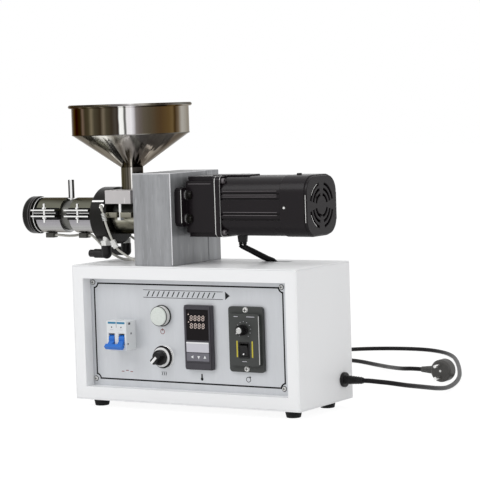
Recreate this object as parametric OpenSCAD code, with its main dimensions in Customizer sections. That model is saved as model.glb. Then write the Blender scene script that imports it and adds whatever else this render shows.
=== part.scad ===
// Benchtop single-screw filament extruder on a sheet-steel control cabinet.
// Millimetres, +Z up. The origin is on the floor under the middle of the machine:
// X runs along the screw from the die to the motor, Y from the control panel to the back.

/* [Cabinet] */
// Width of the cabinet along the screw
cab_w = 397; // [380:1:460]
// Depth of the cabinet from front to back
cab_d = 155; // [150:1:200]
// Height of the cabinet without its feet
cab_h = 205; // [195:1:260]
// Thickness of the cabinet sheets
sheet_t = 2; // [1.2:0.1:3]
// Width of the strips of the front frame
frame_w = 20; // [14:1:24]
// Depth of the recess in front of the control panel
recess = 20; // [14:1:24]
// Thickness of the control panel
panel_t = 2; // [1:0.5:4]
// Lap of the control panel behind the front frame
panel_lap = 8; // [4:1:12]
// Height of the feet
foot_h = 12; // [8:1:20]
// Diameter of a foot at the cabinet
foot_d = 26; // [20:1:34]
// Diameter of a foot at the floor
foot_tip_d = 21; // [14:1:26]
// Distance of a foot's middle from the cabinet sides
foot_inset = 28; // [22:1:40]
// Length of the cable slot in the deck
slot_l = 48; // [40:1:60]
// Width of the cable slot in the deck
slot_w = 12; // [10:1:16]
// Left end of the cable slot from the cabinet's left side
slot_x = 268; // [250:1:285]
// Middle of the cable slot from the cabinet's front
slot_y = 124; // [112:1:134]

/* [Control panel devices] */
// Height of the row of devices above the cabinet's underside
row_z = 100; // [95:1:105]
// Middle of the circuit breaker from the cabinet's left side
breaker_x = 83; // [75:1:95]
// Width of the circuit breaker
breaker_w = 36; // [32:1:40]
// Height of the circuit breaker
breaker_h = 45; // [42:1:50]
// Reach of the circuit breaker in front of the panel
breaker_l = 25; // [22:1:30]
// Middle of the lamp and of the selector from the cabinet's left side
lamp_x = 150; // [140:1:160]
// Height of the lamp above the row of devices
lamp_up = 30; // [26:1:40]
// Diameter of the lamp and of the selector bezel
lamp_d = 30; // [26:1:34]
// Reach of the lamp bezel in front of the panel
lamp_l = 9; // [6:1:14]
// Drop of the selector below the row of devices
selector_down = 32; // [26:1:40]
// Diameter of the selector knob
selector_d = 23; // [20:1:25]
// Reach of the selector knob in front of its bezel
selector_l = 16; // [12:1:20]
// Middle of the temperature controller from the cabinet's left side
temp_x = 218; // [210:1:226]
// Width of the temperature controller
temp_w = 48; // [44:1:52]
// Height of the temperature controller
temp_h = 96; // [90:1:100]
// Reach of the temperature controller in front of the panel
temp_l = 9; // [6:1:14]
// Middle of the speed controller from the cabinet's left side
speed_x = 300; // [292:1:310]
// Width of the speed controller's plate
speed_w = 59; // [54:1:64]
// Height of the speed controller's plate
speed_h = 96; // [92:1:104]
// Thickness of the speed controller's plate
speed_plate_t = 5; // [4:0.5:8]
// Thickness of the speed controller's raised face
speed_face_t = 6; // [5:0.5:9]
// Height of the speed knob above the row of devices
speed_knob_up = 15; // [10:1:22]
// Diameter of the speed knob
speed_knob_d = 16; // [13:1:20]
// Reach of the speed knob in front of its face
speed_knob_l = 13; // [9:1:18]
// Drop of the rocker switch below the row of devices
rocker_down = 15; // [14:1:20]
// Width of the rocker switch
rocker_w = 13; // [10:1:16]
// Height of the rocker switch
rocker_h = 18; // [16:1:22]

/* [Gearbox] */
// Left face of the gearbox from the cabinet's left side
gear_x = 110; // [105:1:125]
// Length of the gearbox along the screw
gear_l = 69; // [56:1:80]
// Depth of the gearbox from front to back
gear_d = 135; // [125:1:145]
// Height of the gearbox above the deck
gear_h = 138; // [132:1:160]
// Depth of the rear part of the gearbox
gear_rear_d = 36; // [24:1:48]
// Chamfer of the gearbox edges
gear_chamfer = 1.5; // [0.5:0.25:4]

/* [Barrel and heaters] */
// Height of the screw axis above the deck
axis_h = 71.5; // [66:0.5:80]
// Diameter of the screw
screw_d = 20; // [16:1:22]
// Outer diameter of the barrel
barrel_d = 46; // [40:1:50]
// Length of the barrel from the gearbox to the die nut
barrel_l = 219; // [210:1:240]
// Outer diameter of the die nut
die_nut_d = 59; // [56:1:66]
// Length of the die nut
die_nut_l = 22; // [18:1:30]
// Diameter of the hole in the die
die_hole_d = 4; // [1:0.5:6]
// Outer diameter of a heater band
heater_d = 55; // [52:1:58]
// Gap between the front heater and the die nut
die_gap = 4.5; // [2:0.5:8]
// Length of bare barrel between the two heaters
heater_gap = 18.5; // [16:0.5:20]
// Gap between the two ears of a heater band
ear_gap = 7; // [5:0.5:9]
// Reach of the ears in front of the band
ear_l = 12; // [9:0.5:16]
// Diameter of the upright probe tube
probe_d = 9.5; // [7:0.5:13]
// Distance of the probe tube from the middle between the heaters
probe_side = -4; // [-4:0.5:4]
// Length of the probe tube above the barrel
probe_l = 32; // [20:1:45]

/* [Feed section] */
// Distance between the gearbox and the feed block
feed_gap = 19.5; // [16:0.5:26]
// Length of the feed block along the screw
feed_l = 47.5; // [42:0.5:52]
// Width of the feed block across the screw
feed_w = 89; // [84:1:96]
// Height of the feed block
feed_h = 20.5; // [16:0.5:28]
// Height of the feed block's underside above the screw axis
feed_up = 20; // [16:0.5:22]
// Diameter of the feed throat
throat_d = 24; // [18:1:28]
// Outer diameter of the cradle under the barrel
cradle_d = 57.5; // [54:0.5:62]
// Thickness of the cradle's flanges
flange_t = 8; // [5:0.5:10]
// Height of the cradle's flanges above the screw axis
flange_up = 7; // [4:0.5:10]
// Spacing of the two clamp bolts
clamp_pitch = 76; // [70:1:78]
// Gap between the feed block and the cooling jacket
jacket_gap = 2.5; // [1:0.5:8]
// Diameter of the cooling jacket
jacket_d = 88; // [80:1:94]
// Length of the cooling jacket
jacket_l = 30.5; // [26:0.5:34]
// Gap between the cooling jacket and the rear heater
jacket_heater_gap = 4; // [3:0.5:8]
// Spacing of the two coolant fittings
elbow_pitch = 52; // [44:1:56]
// Distance of the coolant fittings from the jacket's middle
elbow_side = 4; // [0:0.5:5]
// Height of the screw's axis above the seats of the coolant fittings
collar_seat = 37.5; // [36:0.5:40]

/* [Hopper] */
// Distance of the hopper axis from the feed block's middle
hopper_side = -2.5; // [-5:0.5:5]
// Diameter of the hopper bowl
bowl_d = 180; // [150:1:200]
// Height of the hopper bowl
bowl_h = 46; // [36:0.5:70]
// Height of the hopper cone
cone_h = 51; // [40:0.5:60]
// Diameter of the hopper neck
neck_d = 34; // [30:1:40]
// Height of the hopper neck
neck_h = 33.5; // [28:0.5:60]
// Wall thickness of the hopper
hopper_t = 1.5; // [1:0.1:2.5]
// Diameter of the rolled bead on the hopper rim
bead_d = 5.5; // [4:0.5:7]

/* [Drive motor] */
// Height of the motor axis above the deck
motor_h = 87; // [80:0.5:95]
// Sideways offset of the motor axis from the screw axis
motor_side = 2.5; // [-5:0.5:5]
// Side of the square motor and gearhead
motor_w = 90; // [80:1:96]
// Width of the gearhead's mounting ears
gearhead_ear_w = 120; // [112:1:126]
// Height of the gearhead's mounting ears
gearhead_ear_h = 58; // [50:1:66]
// Thickness of the gearhead's mounting ears
gearhead_ear_t = 12; // [8:0.5:14]
// Length of the gearhead from the gearbox
gearhead_l = 62; // [54:1:70]
// Length of the motor's end bell next to the gearhead
bell_l = 9; // [7:0.5:14]
// Length of the ribbed motor frame
frame_l = 101; // [90:1:104]
// Length of the fan cowl
cowl_l = 45; // [36:1:46]
// Corner radius of the motor
motor_r = 26; // [18:1:30]
// Width of a vent slot in the fan cowl
vent_w = 3.5; // [2.5:0.5:4]

/* [Mains lead] */
// Diameter of the mains cord
cord_d = 7; // [6:0.5:8]
// Height of the mains gland above the cabinet's underside
gland_z = 31; // [25:1:60]
// Distance of the mains gland from the cabinet's front
gland_y = 127; // [110:1:130]
// Length of the mains gland and its tapered boot
gland_l = 34; // [24:1:50]
// Diameter of the round plug
plug_d = 36; // [32:1:44]

/* [Hidden] */
$fn = 64;

// Clearance of round pieces that seat on each other
seat_gap = 0.2;
// Clearance of a knob or toggle in its seat
turn_gap = 0.6;
// Clearance of a small shaft in its bore
shaft_gap = 0.15;
// Overlap of shapes that are joined or cut
eps = 0.5;

// Stations of the cabinet
nozzle_reach = barrel_l + die_nut_l - gear_x;
x_left = (nozzle_reach - cab_w) / 2;
x_right = x_left + cab_w;
y_front = -cab_d / 2;
y_back = cab_d / 2;
z_base = foot_h;
z_deck = foot_h + cab_h;
z_axis = z_deck + axis_h;

// Stations along the screw, from the gearbox to the die
x_gear = x_left + gear_x;
x_feed = x_gear - feed_gap - feed_l;
x_clamp = x_feed + feed_l / 2;
x_hopper = x_clamp + hopper_side;
x_jacket = x_feed - jacket_gap - jacket_l;
x_die = x_gear - barrel_l;
heater_l = (x_jacket - x_die - jacket_heater_gap - heater_gap - die_gap) / 2;
x_heater_rear = x_jacket - jacket_heater_gap - heater_l;
x_heater_front = x_die + die_gap;

// Stations of the drive
x_drive = x_gear + gear_l;
x_bell = x_drive + gearhead_l;
x_frame = x_bell + bell_l;
x_cowl = x_frame + frame_l;
z_motor = z_deck + motor_h;

// The control panel and the openings of the front frame
panel_y = y_front + recess;
open_w = cab_w - 2 * frame_w;
open_h = cab_h - 2 * frame_w;
z_row = z_base + row_z;

// Feed section heights
z_feed = z_axis + feed_up;
z_flange = z_axis + flange_up;
z_neck = z_feed + feed_h;
z_cone = z_neck + neck_h;
z_bowl = z_cone + cone_h;
z_rim = z_bowl + bowl_h;

// Breaker toggle: its shaft lies behind the front of the breaker
toggle_hub_d = 12;
toggle_depth = 5;
toggle_reach = 16;
toggle_rest = 42;
toggle_w = breaker_w - 8;
toggle_drop = 5;
toggle_bar = 6;
toggle_bar_w = toggle_w + 4;
toggle_room = 4;
toggle_web = 7;
toggle_pin_d = 4;
toggle_pin_l = 1.5;

// Rocker switch: its pins lie in the speed plate
rocker_depth = 4;
rocker_tilt = 8;
rocker_pin_d = 3;
rocker_pin_l = 1.5;
rocker_proud = 2;

// Knob shafts
knob_shaft_d = 6;
knob_shaft_l = 4;
selector_rest = 135;

// Sizes of small round pieces
bolt_d = 6;
bolt_head_d = 11;
bolt_head_h = 4;
heater_bolt_d = 4;
heater_bolt_up = 6;
heater_bolt_down = 6;
heater_nut_d = 7;
heater_nut_h = 3;
ear_t = 2.4;
lead_d = 4;
motor_lead_d = 6;
wire_d = 3.5;

// Coolant fitting sizes
collar_d = 17;
collar_h = 7.5;
collar_neck_d = 10;
collar_neck_l = 10;
elbow_d = 16;
elbow_drop = 12.5;
elbow_arm_d = 14;
elbow_l = 22;
collet_d = 11.5;
collet_l = 9;
hose_d = 8;
hose_depth = 16;

// A rectangle with round corners, centred
module round_rect(w, h, r) {
    square([w - 2 * r, h], center = true);
    square([w, h - 2 * r], center = true);
    for (x = [-1, 1], y = [-1, 1])
        translate([x * (w / 2 - r), y * (h / 2 - r)]) circle(r);
}

// A rectangle with chamfered corners, from its lower left corner
module chamfer_rect(w, h, c) {
    polygon([[c, 0], [w - c, 0], [w, c], [w, h - c], [w - c, h], [c, h], [0, h - c], [0, c]]);
}

// A flat shape drawn in Y and Z, extruded along +X from x
module along_x(x, l) {
    translate([x, 0, 0]) rotate([90, 0, 90]) linear_extrude(l) children();
}

// A flat shape drawn in X and Z, extruded from y towards the front
module to_front(y, l) {
    translate([0, y, 0]) rotate([90, 0, 0]) linear_extrude(l) children();
}

// A round rod along +X on the screw axis
module axis_rod(x, l, d) {
    translate([x, 0, z_axis]) rotate([0, 90, 0]) cylinder(h = l, d = d);
}

// A tube on the screw axis
module axis_tube(x, l, d, bore) {
    difference() {
        axis_rod(x, l, d);
        axis_rod(x - eps, l + 2 * eps, bore);
    }
}

// Smooth path through a list of points, with n steps between neighbours
function at(p, i) = p[max(0, min(len(p) - 1, i))];
function blend(a, b, c, d, t) = 0.5 * (2 * b + (c - a) * t + (2 * a - 5 * b + 4 * c - d) * t * t
    + (3 * b - a - 3 * c + d) * t * t * t);
function smooth(p, n) = concat([for (i = [0 : len(p) - 2], s = [0 : n - 1])
    blend(at(p, i - 1), at(p, i), at(p, i + 1), at(p, i + 2), s / n)], [p[len(p) - 1]]);
function unit(v) = v / norm(v);
function heading(p, i) = unit(at(p, i + 1) - at(p, i - 1));
function sideways(t) = unit(cross(abs(t[2]) > 0.9 ? [0, 1, 0] : [0, 0, 1], t));

// A round tube of few sides along a path
module sweep(p, d, sides) {
    rings = [for (i = [0 : len(p) - 1])
        let (t = heading(p, i), u = sideways(t), v = cross(t, u))
        [for (k = [0 : sides - 1])
            p[i] + d / 2 * (cos(360 * k / sides) * u + sin(360 * k / sides) * v)]];
    last = (len(p) - 1) * sides;
    polyhedron(
        points = [for (r = rings) each r],
        faces = concat(
            [[for (k = [0 : sides - 1]) k]],
            [for (i = [0 : len(p) - 2], k = [0 : sides - 1])
                let (a = i * sides + k, b = i * sides + (k + 1) % sides)
                each [[a, a + sides, b], [b, a + sides, b + sides]]],
            [[for (k = [sides - 1 : -1 : 0]) last + k]]));
}

// The cabinet

module base_plate() {
    color("white")
    translate([x_left, y_front, z_base]) cube([cab_w, cab_d, sheet_t]);
}

module deck_plate() {
    color("white")
    difference() {
        translate([x_left, y_front, z_deck - sheet_t]) cube([cab_w, cab_d, sheet_t]);
        translate([x_left + slot_x, y_front + slot_y - slot_w / 2, z_deck - sheet_t - eps])
            cube([slot_l, slot_w, sheet_t + 2 * eps]);
    }
}

// One of the two upright sides, between the base and the deck
module upright(x) {
    translate([x, y_front, z_base + sheet_t]) cube([sheet_t, cab_d, cab_h - 2 * sheet_t]);
}

module left_side() {
    color("white") upright(x_left);
}

module right_side() {
    color("white")
    difference() {
        upright(x_right - sheet_t);
        translate([x_right - sheet_t - eps, y_front + gland_y, z_base + gland_z]) rotate([0, 90, 0])
            cylinder(h = sheet_t + 2 * eps, d = gland_hole_d);
    }
}

module back_panel() {
    color("white")
    translate([x_left + sheet_t, y_back - sheet_t, z_base + sheet_t])
        cube([cab_w - 2 * sheet_t, sheet_t, cab_h - 2 * sheet_t]);
}

// A front ring with returns that run back to the control panel
module front_frame() {
    color("white")
    translate([x_left + cab_w / 2, 0, z_base + cab_h / 2])
    difference() {
        union() {
            to_front(y_front + sheet_t, sheet_t)
                square([cab_w - 2 * sheet_t, cab_h - 2 * sheet_t], center = true);
            to_front(panel_y, recess)
                square([open_w + 2 * sheet_t, open_h + 2 * sheet_t], center = true);
        }
        to_front(panel_y + eps, recess + 2 * eps) square([open_w, open_h], center = true);
    }
}

module feet() {
    color("black")
    for (x = [x_left + foot_inset, x_right - foot_inset], y = [y_front + foot_inset, y_back - foot_inset])
        translate([x, y, 0]) cylinder(h = foot_h, d1 = foot_tip_d, d2 = foot_d);
}

// The control panel and its devices

module control_panel() {
    color("silver")
    translate([x_left + cab_w / 2, 0, z_base + cab_h / 2])
        to_front(panel_y + panel_t, panel_t)
            square([open_w + 2 * panel_lap, open_h + 2 * panel_lap], center = true);
}

// Shaft of the breaker toggle
toggle_y = panel_y - breaker_l + toggle_depth;
toggle_z = z_row - toggle_drop;

// The two handles of the toggle, on both sides of the breaker's middle web
handle_w = (toggle_w - toggle_web) / 2 - turn_gap;
handle_x = (toggle_w - handle_w) / 2;
handle_t = 4;

// A round bar along X about the toggle shaft
module toggle_rod(l, d, shift = 0) {
    translate([x_left + breaker_x + shift - l / 2, toggle_y, toggle_z]) rotate([0, 90, 0])
        cylinder(h = l, d = d);
}

module breaker_body() {
    color("whitesmoke")
    difference() {
        translate([x_left + breaker_x - breaker_w / 2, panel_y, z_row - breaker_h / 2])
            rotate([90, 0, 0]) linear_extrude(breaker_l) chamfer_rect(breaker_w, breaker_h, 1);
        for (side = [-1, 1])
            toggle_rod(handle_w + 2 * turn_gap, toggle_hub_d + 2 * toggle_room, side * handle_x);
        toggle_rod(toggle_w + 2 * toggle_pin_l + 2 * turn_gap, toggle_pin_d + 2 * shaft_gap);
    }
}

// Two handles on one shaft, with a bar across their ends
module breaker_toggle() {
    arm_w = handle_w - 1;
    color("dodgerblue") {
        for (side = [-1, 1]) toggle_rod(handle_w, toggle_hub_d, side * handle_x);
        toggle_rod(toggle_w + 2 * toggle_pin_l, toggle_pin_d);
        translate([x_left + breaker_x, toggle_y, toggle_z]) rotate([toggle_rest, 0, 0]) {
            for (side = [-1, 1])
                translate([side * handle_x - arm_w / 2, -toggle_reach, -handle_t / 2])
                    cube([arm_w, toggle_reach, handle_t]);
            translate([-toggle_bar_w / 2, -toggle_reach - toggle_bar / 2, -toggle_bar / 2])
                cube([toggle_bar_w, toggle_bar, toggle_bar]);
        }
    }
}

// Middle of the lamp and of the selector on the panel
module at_lamp(z) {
    translate([x_left + lamp_x, panel_y, z]) rotate([90, 0, 0]) children();
}
lamp_z = z_row + lamp_up;
selector_z = z_row - selector_down;

module lamp_bezel() {
    color("silver")
    at_lamp(lamp_z) rotate_extrude()
        polygon([[lens_d / 2, 0], [lamp_d / 2, 0], [lamp_d / 2, 2], [lamp_d / 2 - 1.5, lamp_l - 1],
            [lamp_d / 2 - 2.5, lamp_l], [lens_d / 2, lamp_l]]);
}

lens_d = lamp_d - 7;
lens_dome = 3;

module lamp_lens() {
    color("ghostwhite")
    at_lamp(lamp_z) {
        cylinder(h = lamp_l, d = lens_d - 2 * seat_gap);
        translate([0, 0, lamp_l]) cylinder(h = lens_dome, d1 = lens_d - 2 * seat_gap, d2 = lens_d - 6);
    }
}

selector_bezel_l = 6;

module selector_bezel() {
    color("silver")
    at_lamp(selector_z) difference() {
        union() {
            cylinder(h = 2, d = lamp_d + 5);
            cylinder(h = selector_bezel_l, d = lamp_d - 2);
        }
        translate([0, 0, selector_bezel_l - knob_shaft_l - turn_gap])
            cylinder(h = knob_shaft_l + turn_gap + eps, d = knob_shaft_d + 2 * shaft_gap);
    }
}

// A round knob with a straight grip, pointing down to the left
module selector_knob() {
    grip_w = selector_d * 0.38;
    base_h = selector_l * 0.4;
    color("black")
    at_lamp(selector_z) {
        translate([0, 0, selector_bezel_l - knob_shaft_l])
            cylinder(h = knob_shaft_l + turn_gap + eps, d = knob_shaft_d);
        translate([0, 0, selector_bezel_l + turn_gap]) {
            cylinder(h = base_h, d = selector_d);
            intersection() {
                cylinder(h = selector_l, d1 = selector_d, d2 = selector_d - 3);
                rotate(selector_rest) translate([-grip_w / 2, -selector_d, 0])
                    cube([grip_w, 2 * selector_d, selector_l]);
            }
        }
    }
}

module temp_controller() {
    window_w = temp_w - 9;
    window_h = temp_h * 0.48;
    color("dimgray")
    translate([x_left + temp_x, 0, z_row]) difference() {
        union() {
            to_front(panel_y, temp_l - 2) round_rect(temp_w, temp_h, 2);
            to_front(panel_y - temp_l + 2 + eps, 2 + eps) round_rect(temp_w - 3, temp_h - 3, 1.5);
        }
        translate([0, 0, temp_h / 2 - 6 - window_h / 2])
            to_front(panel_y - temp_l + 1, 1 + eps) square([window_w, window_h], center = true);
    }
}

// Middle of the speed controller on the panel, with its raised face
module at_speed(z) {
    translate([x_left + speed_x, panel_y, z]) rotate([90, 0, 0]) children();
}
speed_knob_z = z_row + speed_knob_up;
rocker_z = z_row - rocker_down;
speed_l = speed_plate_t + speed_face_t;

module speed_plate() {
    face_w = speed_w - 8;
    face_h = speed_h - 20;
    color("dimgray")
    difference() {
        union() {
            at_speed(z_row) linear_extrude(speed_plate_t) round_rect(speed_w, speed_h, 5);
            at_speed(z_row) linear_extrude(speed_l) round_rect(face_w, face_h, 2);
        }
        at_speed(speed_knob_z) translate([0, 0, speed_l - knob_shaft_l - turn_gap])
            cylinder(h = knob_shaft_l + turn_gap + eps, d = knob_shaft_d + 2 * shaft_gap);
        at_speed(rocker_z) translate([0, 0, 1])
            linear_extrude(speed_l)
                square([rocker_w + 2 * turn_gap, rocker_h + 2 * turn_gap], center = true);
        rocker_rod(rocker_w + 2 * rocker_pin_l + 2 * turn_gap, rocker_pin_d + 2 * shaft_gap);
    }
}

module speed_knob() {
    skirt_h = speed_knob_l * 0.25;
    color("black")
    at_speed(speed_knob_z) translate([0, 0, speed_l]) {
        translate([0, 0, -knob_shaft_l]) cylinder(h = knob_shaft_l + turn_gap + eps, d = knob_shaft_d);
        translate([0, 0, turn_gap]) {
            cylinder(h = skirt_h, d = speed_knob_d);
            cylinder(h = speed_knob_l, d1 = speed_knob_d - 2, d2 = speed_knob_d - 4);
        }
    }
}

// A round bar along X about the rocker's pins
module rocker_rod(l, d) {
    translate([x_left + speed_x - l / 2, panel_y - speed_l + rocker_depth, rocker_z])
        rotate([0, 90, 0]) cylinder(h = l, d = d);
}

// A shallow V of two pads on a round back, tilted to one side
module speed_rocker() {
    half = rocker_h / 2 - 1;
    color("black") {
        rocker_rod(rocker_w + 2 * rocker_pin_l, rocker_pin_d);
        translate([x_left + speed_x - rocker_w / 2, panel_y - speed_l + rocker_depth, rocker_z])
            rotate([rocker_tilt, 0, 0]) rotate([90, 0, 90]) linear_extrude(rocker_w)
                polygon([[-rocker_depth - rocker_proud, half], [-rocker_depth - rocker_proud + 1.5, 0],
                    [-rocker_depth - rocker_proud, -half], [0, -half], [2, -half / 2], [2, half / 2],
                    [0, half]]);
    }
}

// The drive

// One length of the gearbox block, with chamfered edges on its top and corners
module gear_block(y, d) {
    intersection() {
        translate([x_gear, y, z_deck]) linear_extrude(gear_h) chamfer_rect(gear_l, d, gear_chamfer);
        along_x(x_gear - eps, gear_l + 2 * eps)
            polygon([[y, z_deck], [y + d, z_deck], [y + d, z_deck + gear_h - gear_chamfer],
                [y + d - gear_chamfer, z_deck + gear_h], [y + gear_chamfer, z_deck + gear_h],
                [y, z_deck + gear_h - gear_chamfer]]);
    }
}

module gearbox_body() {
    color("lightgray") gear_block(-gear_d / 2, gear_d - gear_rear_d);
}

module gearbox_rear() {
    color("lightgray") gear_block(gear_d / 2 - gear_rear_d, gear_rear_d);
}

// Middle of the motor, for shapes drawn in Y and Z
module at_motor(x, l) {
    along_x(x, l) translate([motor_side, z_motor]) children();
}

module gearhead() {
    color([0.12, 0.12, 0.13]) {
        at_motor(x_drive, gearhead_ear_t) round_rect(gearhead_ear_w, gearhead_ear_h, 8);
        at_motor(x_drive + gearhead_ear_t - eps, gearhead_l - gearhead_ear_t + eps)
            difference() {
                round_rect(motor_w, motor_w, 5);
                for (y = [-1, 1], z = [-1, 1])
                    translate([y * motor_w / 2, z * motor_w / 2]) square(gearhead_notch, center = true);
            }
        at_motor(x_bell - 4, 4) round_rect(motor_w, motor_w, 5);
    }
}
gearhead_notch = 14;

module motor_bell() {
    color([0.2, 0.2, 0.2]) at_motor(x_bell, bell_l) round_rect(motor_w, motor_w, 7);
}

// A round-cornered frame with ribs along its four sides
module motor_frame() {
    rib = 2.5;
    color([0.1, 0.1, 0.1])
    at_motor(x_frame, frame_l) difference() {
        round_rect(motor_w - 2, motor_w - 2, motor_r);
        for (side = [0 : 90 : 270], s = [-2.5, -1.5, 1.5, 2.5])
            rotate(side) translate([motor_w / 2, s * 3 * rib]) square([2 * rib + 2, rib], center = true);
    }
}

// A closed cowl with rings of curved vent slots in its end
module fan_cowl() {
    spoke = 14;
    ring_pitch = 8;
    vent_depth = 6;
    color([0.1, 0.1, 0.1])
    difference() {
        union() {
            at_motor(x_cowl, cowl_l - 4) round_rect(motor_w, motor_w, motor_r);
            at_motor(x_cowl + cowl_l - 4 - eps, 4 + eps) round_rect(motor_w - 4, motor_w - 4, motor_r - 2);
        }
        translate([x_cowl + cowl_l - vent_depth, motor_side, z_motor]) rotate([0, 90, 0])
            for (ring = [2 : 4], turn = [45 : 90 : 315])
                rotate(turn - 45 + spoke) rotate_extrude(angle = 90 - 2 * spoke)
                    translate([ring * ring_pitch - vent_w / 2, 0]) square([vent_w, vent_depth + eps]);
    }
}

motor_gland_d = 16;
motor_gland_x = x_frame + motor_gland_d / 2 + 1;
motor_gland_h = 12;
z_motor_gland = z_motor - motor_w / 2 - motor_gland_h + 2;

module motor_gland() {
    color([0.1, 0.1, 0.1])
    translate([motor_gland_x, motor_side, z_motor_gland])
        cylinder(h = motor_gland_h - 1, d1 = motor_gland_d - 2, d2 = motor_gland_d);
}

// Two leads from the motor to the cable slot in the deck
module motor_leads() {
    color("black")
    for (side = [-1, 1]) {
        start = [motor_gland_x + side * 3.5, motor_side, z_motor_gland - seat_gap];
        drop = start - [0, 0, motor_lead_d];
        slot = [x_left + slot_x + 14 + side * 5, y_front + slot_y, z_deck];
        sweep(smooth([start, (start + drop) / 2, drop, drop * 0.7 + slot * 0.3, drop * 0.25 + slot * 0.75,
            slot, slot - [0, 0, 2 * motor_lead_d]], 4), motor_lead_d, 8);
    }
}

// The barrel line

module barrel() {
    color("gray")
    difference() {
        axis_tube(x_die, barrel_l, barrel_d, screw_d + 2 * seat_gap);
        translate([x_hopper, 0, z_axis]) cylinder(h = barrel_d, d = throat_d);
    }
}

// A single-start screw that is seen through the feed throat
module feed_screw() {
    root = screw_d * 0.3;
    feed_len = barrel_l - 20;
    color("darkgray")
    translate([x_gear - feed_len, 0, z_axis]) rotate([0, 90, 0])
        linear_extrude(feed_len, twist = -360 * feed_len / screw_d, slices = 100, segments = 12, $fn = 12)
            translate([screw_d / 2 - root - 1, 0]) circle(root + 1);
}

module die_nut() {
    color([0.1, 0.1, 0.1])
    translate([x_die, 0, z_axis]) rotate([0, -90, 0]) difference() {
        rotate_extrude() polygon([[0, 0], [die_nut_d / 2 - 3, 0], [die_nut_d / 2 - 3, 5], [die_nut_d / 2, 5],
            [die_nut_d / 2, die_nut_l - 3], [die_nut_d / 2 - 2, die_nut_l], [0, die_nut_l]]);
        translate([0, 0, -eps]) cylinder(h = die_nut_l + 2 * eps, d = die_plate_d + 2 * seat_gap);
    }
}

die_plate_d = 30;

// The die: a plug with a nose and a fine hole for the filament
module die_plate() {
    nose_d = die_plate_d * 0.5;
    color("silver")
    translate([x_die, 0, z_axis]) rotate([0, -90, 0]) difference() {
        union() {
            cylinder(h = die_nut_l - 6, d = die_plate_d);
            translate([0, 0, die_nut_l - 6 - eps]) cylinder(h = 5 + eps, d1 = nose_d + 4, d2 = nose_d);
        }
        translate([0, 0, -eps]) cylinder(h = die_nut_l, d = die_hole_d);
    }
}

// A split band with two ears and the gap between them at its front
module heater(x) {
    color("silver")
    difference() {
        union() {
            axis_rod(x, heater_l, heater_d);
            for (side = [0, 1])
                translate([x, -heater_d / 2 - ear_l, z_axis + ear_rise + side * (ear_gap + ear_t)])
                    cube([heater_l, ear_l + heater_d / 2 - barrel_d / 2 + 4, ear_t]);
        }
        axis_rod(x - eps, heater_l + 2 * eps, barrel_d + 2 * seat_gap);
        translate([x - eps, -heater_d, z_axis + ear_rise + ear_t])
            cube([heater_l + 2 * eps, heater_d, ear_gap]);
    }
}
ear_rise = -1;

module heater_front() {
    heater(x_heater_front);
}

module heater_rear() {
    heater(x_heater_rear);
}

// Screw terminals under the heater bands
module heater_terminals() {
    color("dimgray")
    for (x = [x_heater_front, x_heater_rear])
        translate([x + terminal_inset, -terminal_w / 2, z_axis - heater_d / 2 - seat_gap - terminal_h])
            cube([terminal_l, terminal_w, terminal_h]);
}
terminal_inset = 2;
terminal_l = 15;
terminal_w = 12;
terminal_h = 8;

// An upright tube screwed into the barrel between the heaters
module probe_tube() {
    z = z_axis + barrel_d / 2;
    color("silver")
    translate([x_heater_rear - heater_gap / 2 + probe_side, 0, z + seat_gap]) difference() {
        cylinder(h = probe_l, d = probe_d);
        translate([0, 0, probe_l - 12]) cylinder(h = 12 + eps, d = probe_d - 3);
    }
}

// The cooling jacket and its fittings

module cooling_jacket() {
    round_edge = 3;
    color([0.08, 0.08, 0.08])
    translate([x_jacket, 0, z_axis]) rotate([0, 90, 0]) difference() {
        rotate_extrude() polygon([[0, 0], [jacket_d / 2 - round_edge, 0], [jacket_d / 2, round_edge],
            [jacket_d / 2, jacket_l - round_edge], [jacket_d / 2 - round_edge, jacket_l], [0, jacket_l]]);
        translate([0, 0, -eps]) cylinder(h = jacket_l + 2 * eps, d = barrel_d + 2 * seat_gap);
        for (side = [-1, 1])
            translate([collar_seat, side * elbow_pitch / 2, jacket_l / 2 + elbow_side]) rotate([0, 90, 0]) {
                cylinder(h = jacket_d, d = collar_d + 2);
                translate([0, 0, -collar_neck_l]) cylinder(h = jacket_d, d = collar_neck_d + 2 * seat_gap);
            }
    }
}
z_collar = z_axis - collar_seat;
x_elbow = x_jacket + jacket_l / 2 + elbow_side;

module coolant_collars() {
    color("silver")
    for (side = [-1, 1])
        translate([x_elbow, side * elbow_pitch / 2, z_collar - collar_h]) {
            cylinder(h = collar_h, d = collar_d, $fn = 6);
            cylinder(h = collar_h + collar_neck_l - seat_gap, d = collar_neck_d);
        }
}

// Push-in elbows whose sockets face the die end
module coolant_elbows() {
    color([0.08, 0.08, 0.08])
    for (side = [-1, 1])
        translate([x_elbow, side * elbow_pitch / 2, z_collar - collar_h - elbow_drop])
            difference() {
                union() {
                    cylinder(h = elbow_drop, d = elbow_d);
                    sphere(d = elbow_d);
                    rotate([0, -90, 0]) cylinder(h = elbow_l, d = elbow_arm_d);
                    rotate([0, -90, 0]) cylinder(h = elbow_l + collet_l, d = collet_d);
                }
                rotate([0, -90, 0]) translate([0, 0, elbow_l + collet_l - hose_depth])
                    cylinder(h = hose_depth + eps, d = hose_d);
            }
}

// The feed section

module feed_block() {
    color("gainsboro")
    difference() {
        translate([x_feed, -feed_w / 2, z_feed]) cube([feed_l, feed_w, feed_h]);
        axis_rod(x_feed - eps, feed_l + 2 * eps, barrel_d + 2 * seat_gap);
        translate([x_hopper, 0, z_axis]) cylinder(h = feed_up + feed_h + eps, d = throat_d);
    }
}

// Open slot for a clamp bolt, from the flange's edge to the bolt
module clamp_slot() {
    w = bolt_d + 1;
    reach = (feed_w - clamp_pitch) / 2;
    square([w, 2 * reach], center = true);
    for (side = [-1, 1])
        translate([0, side * reach]) circle(d = w);
}

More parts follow.
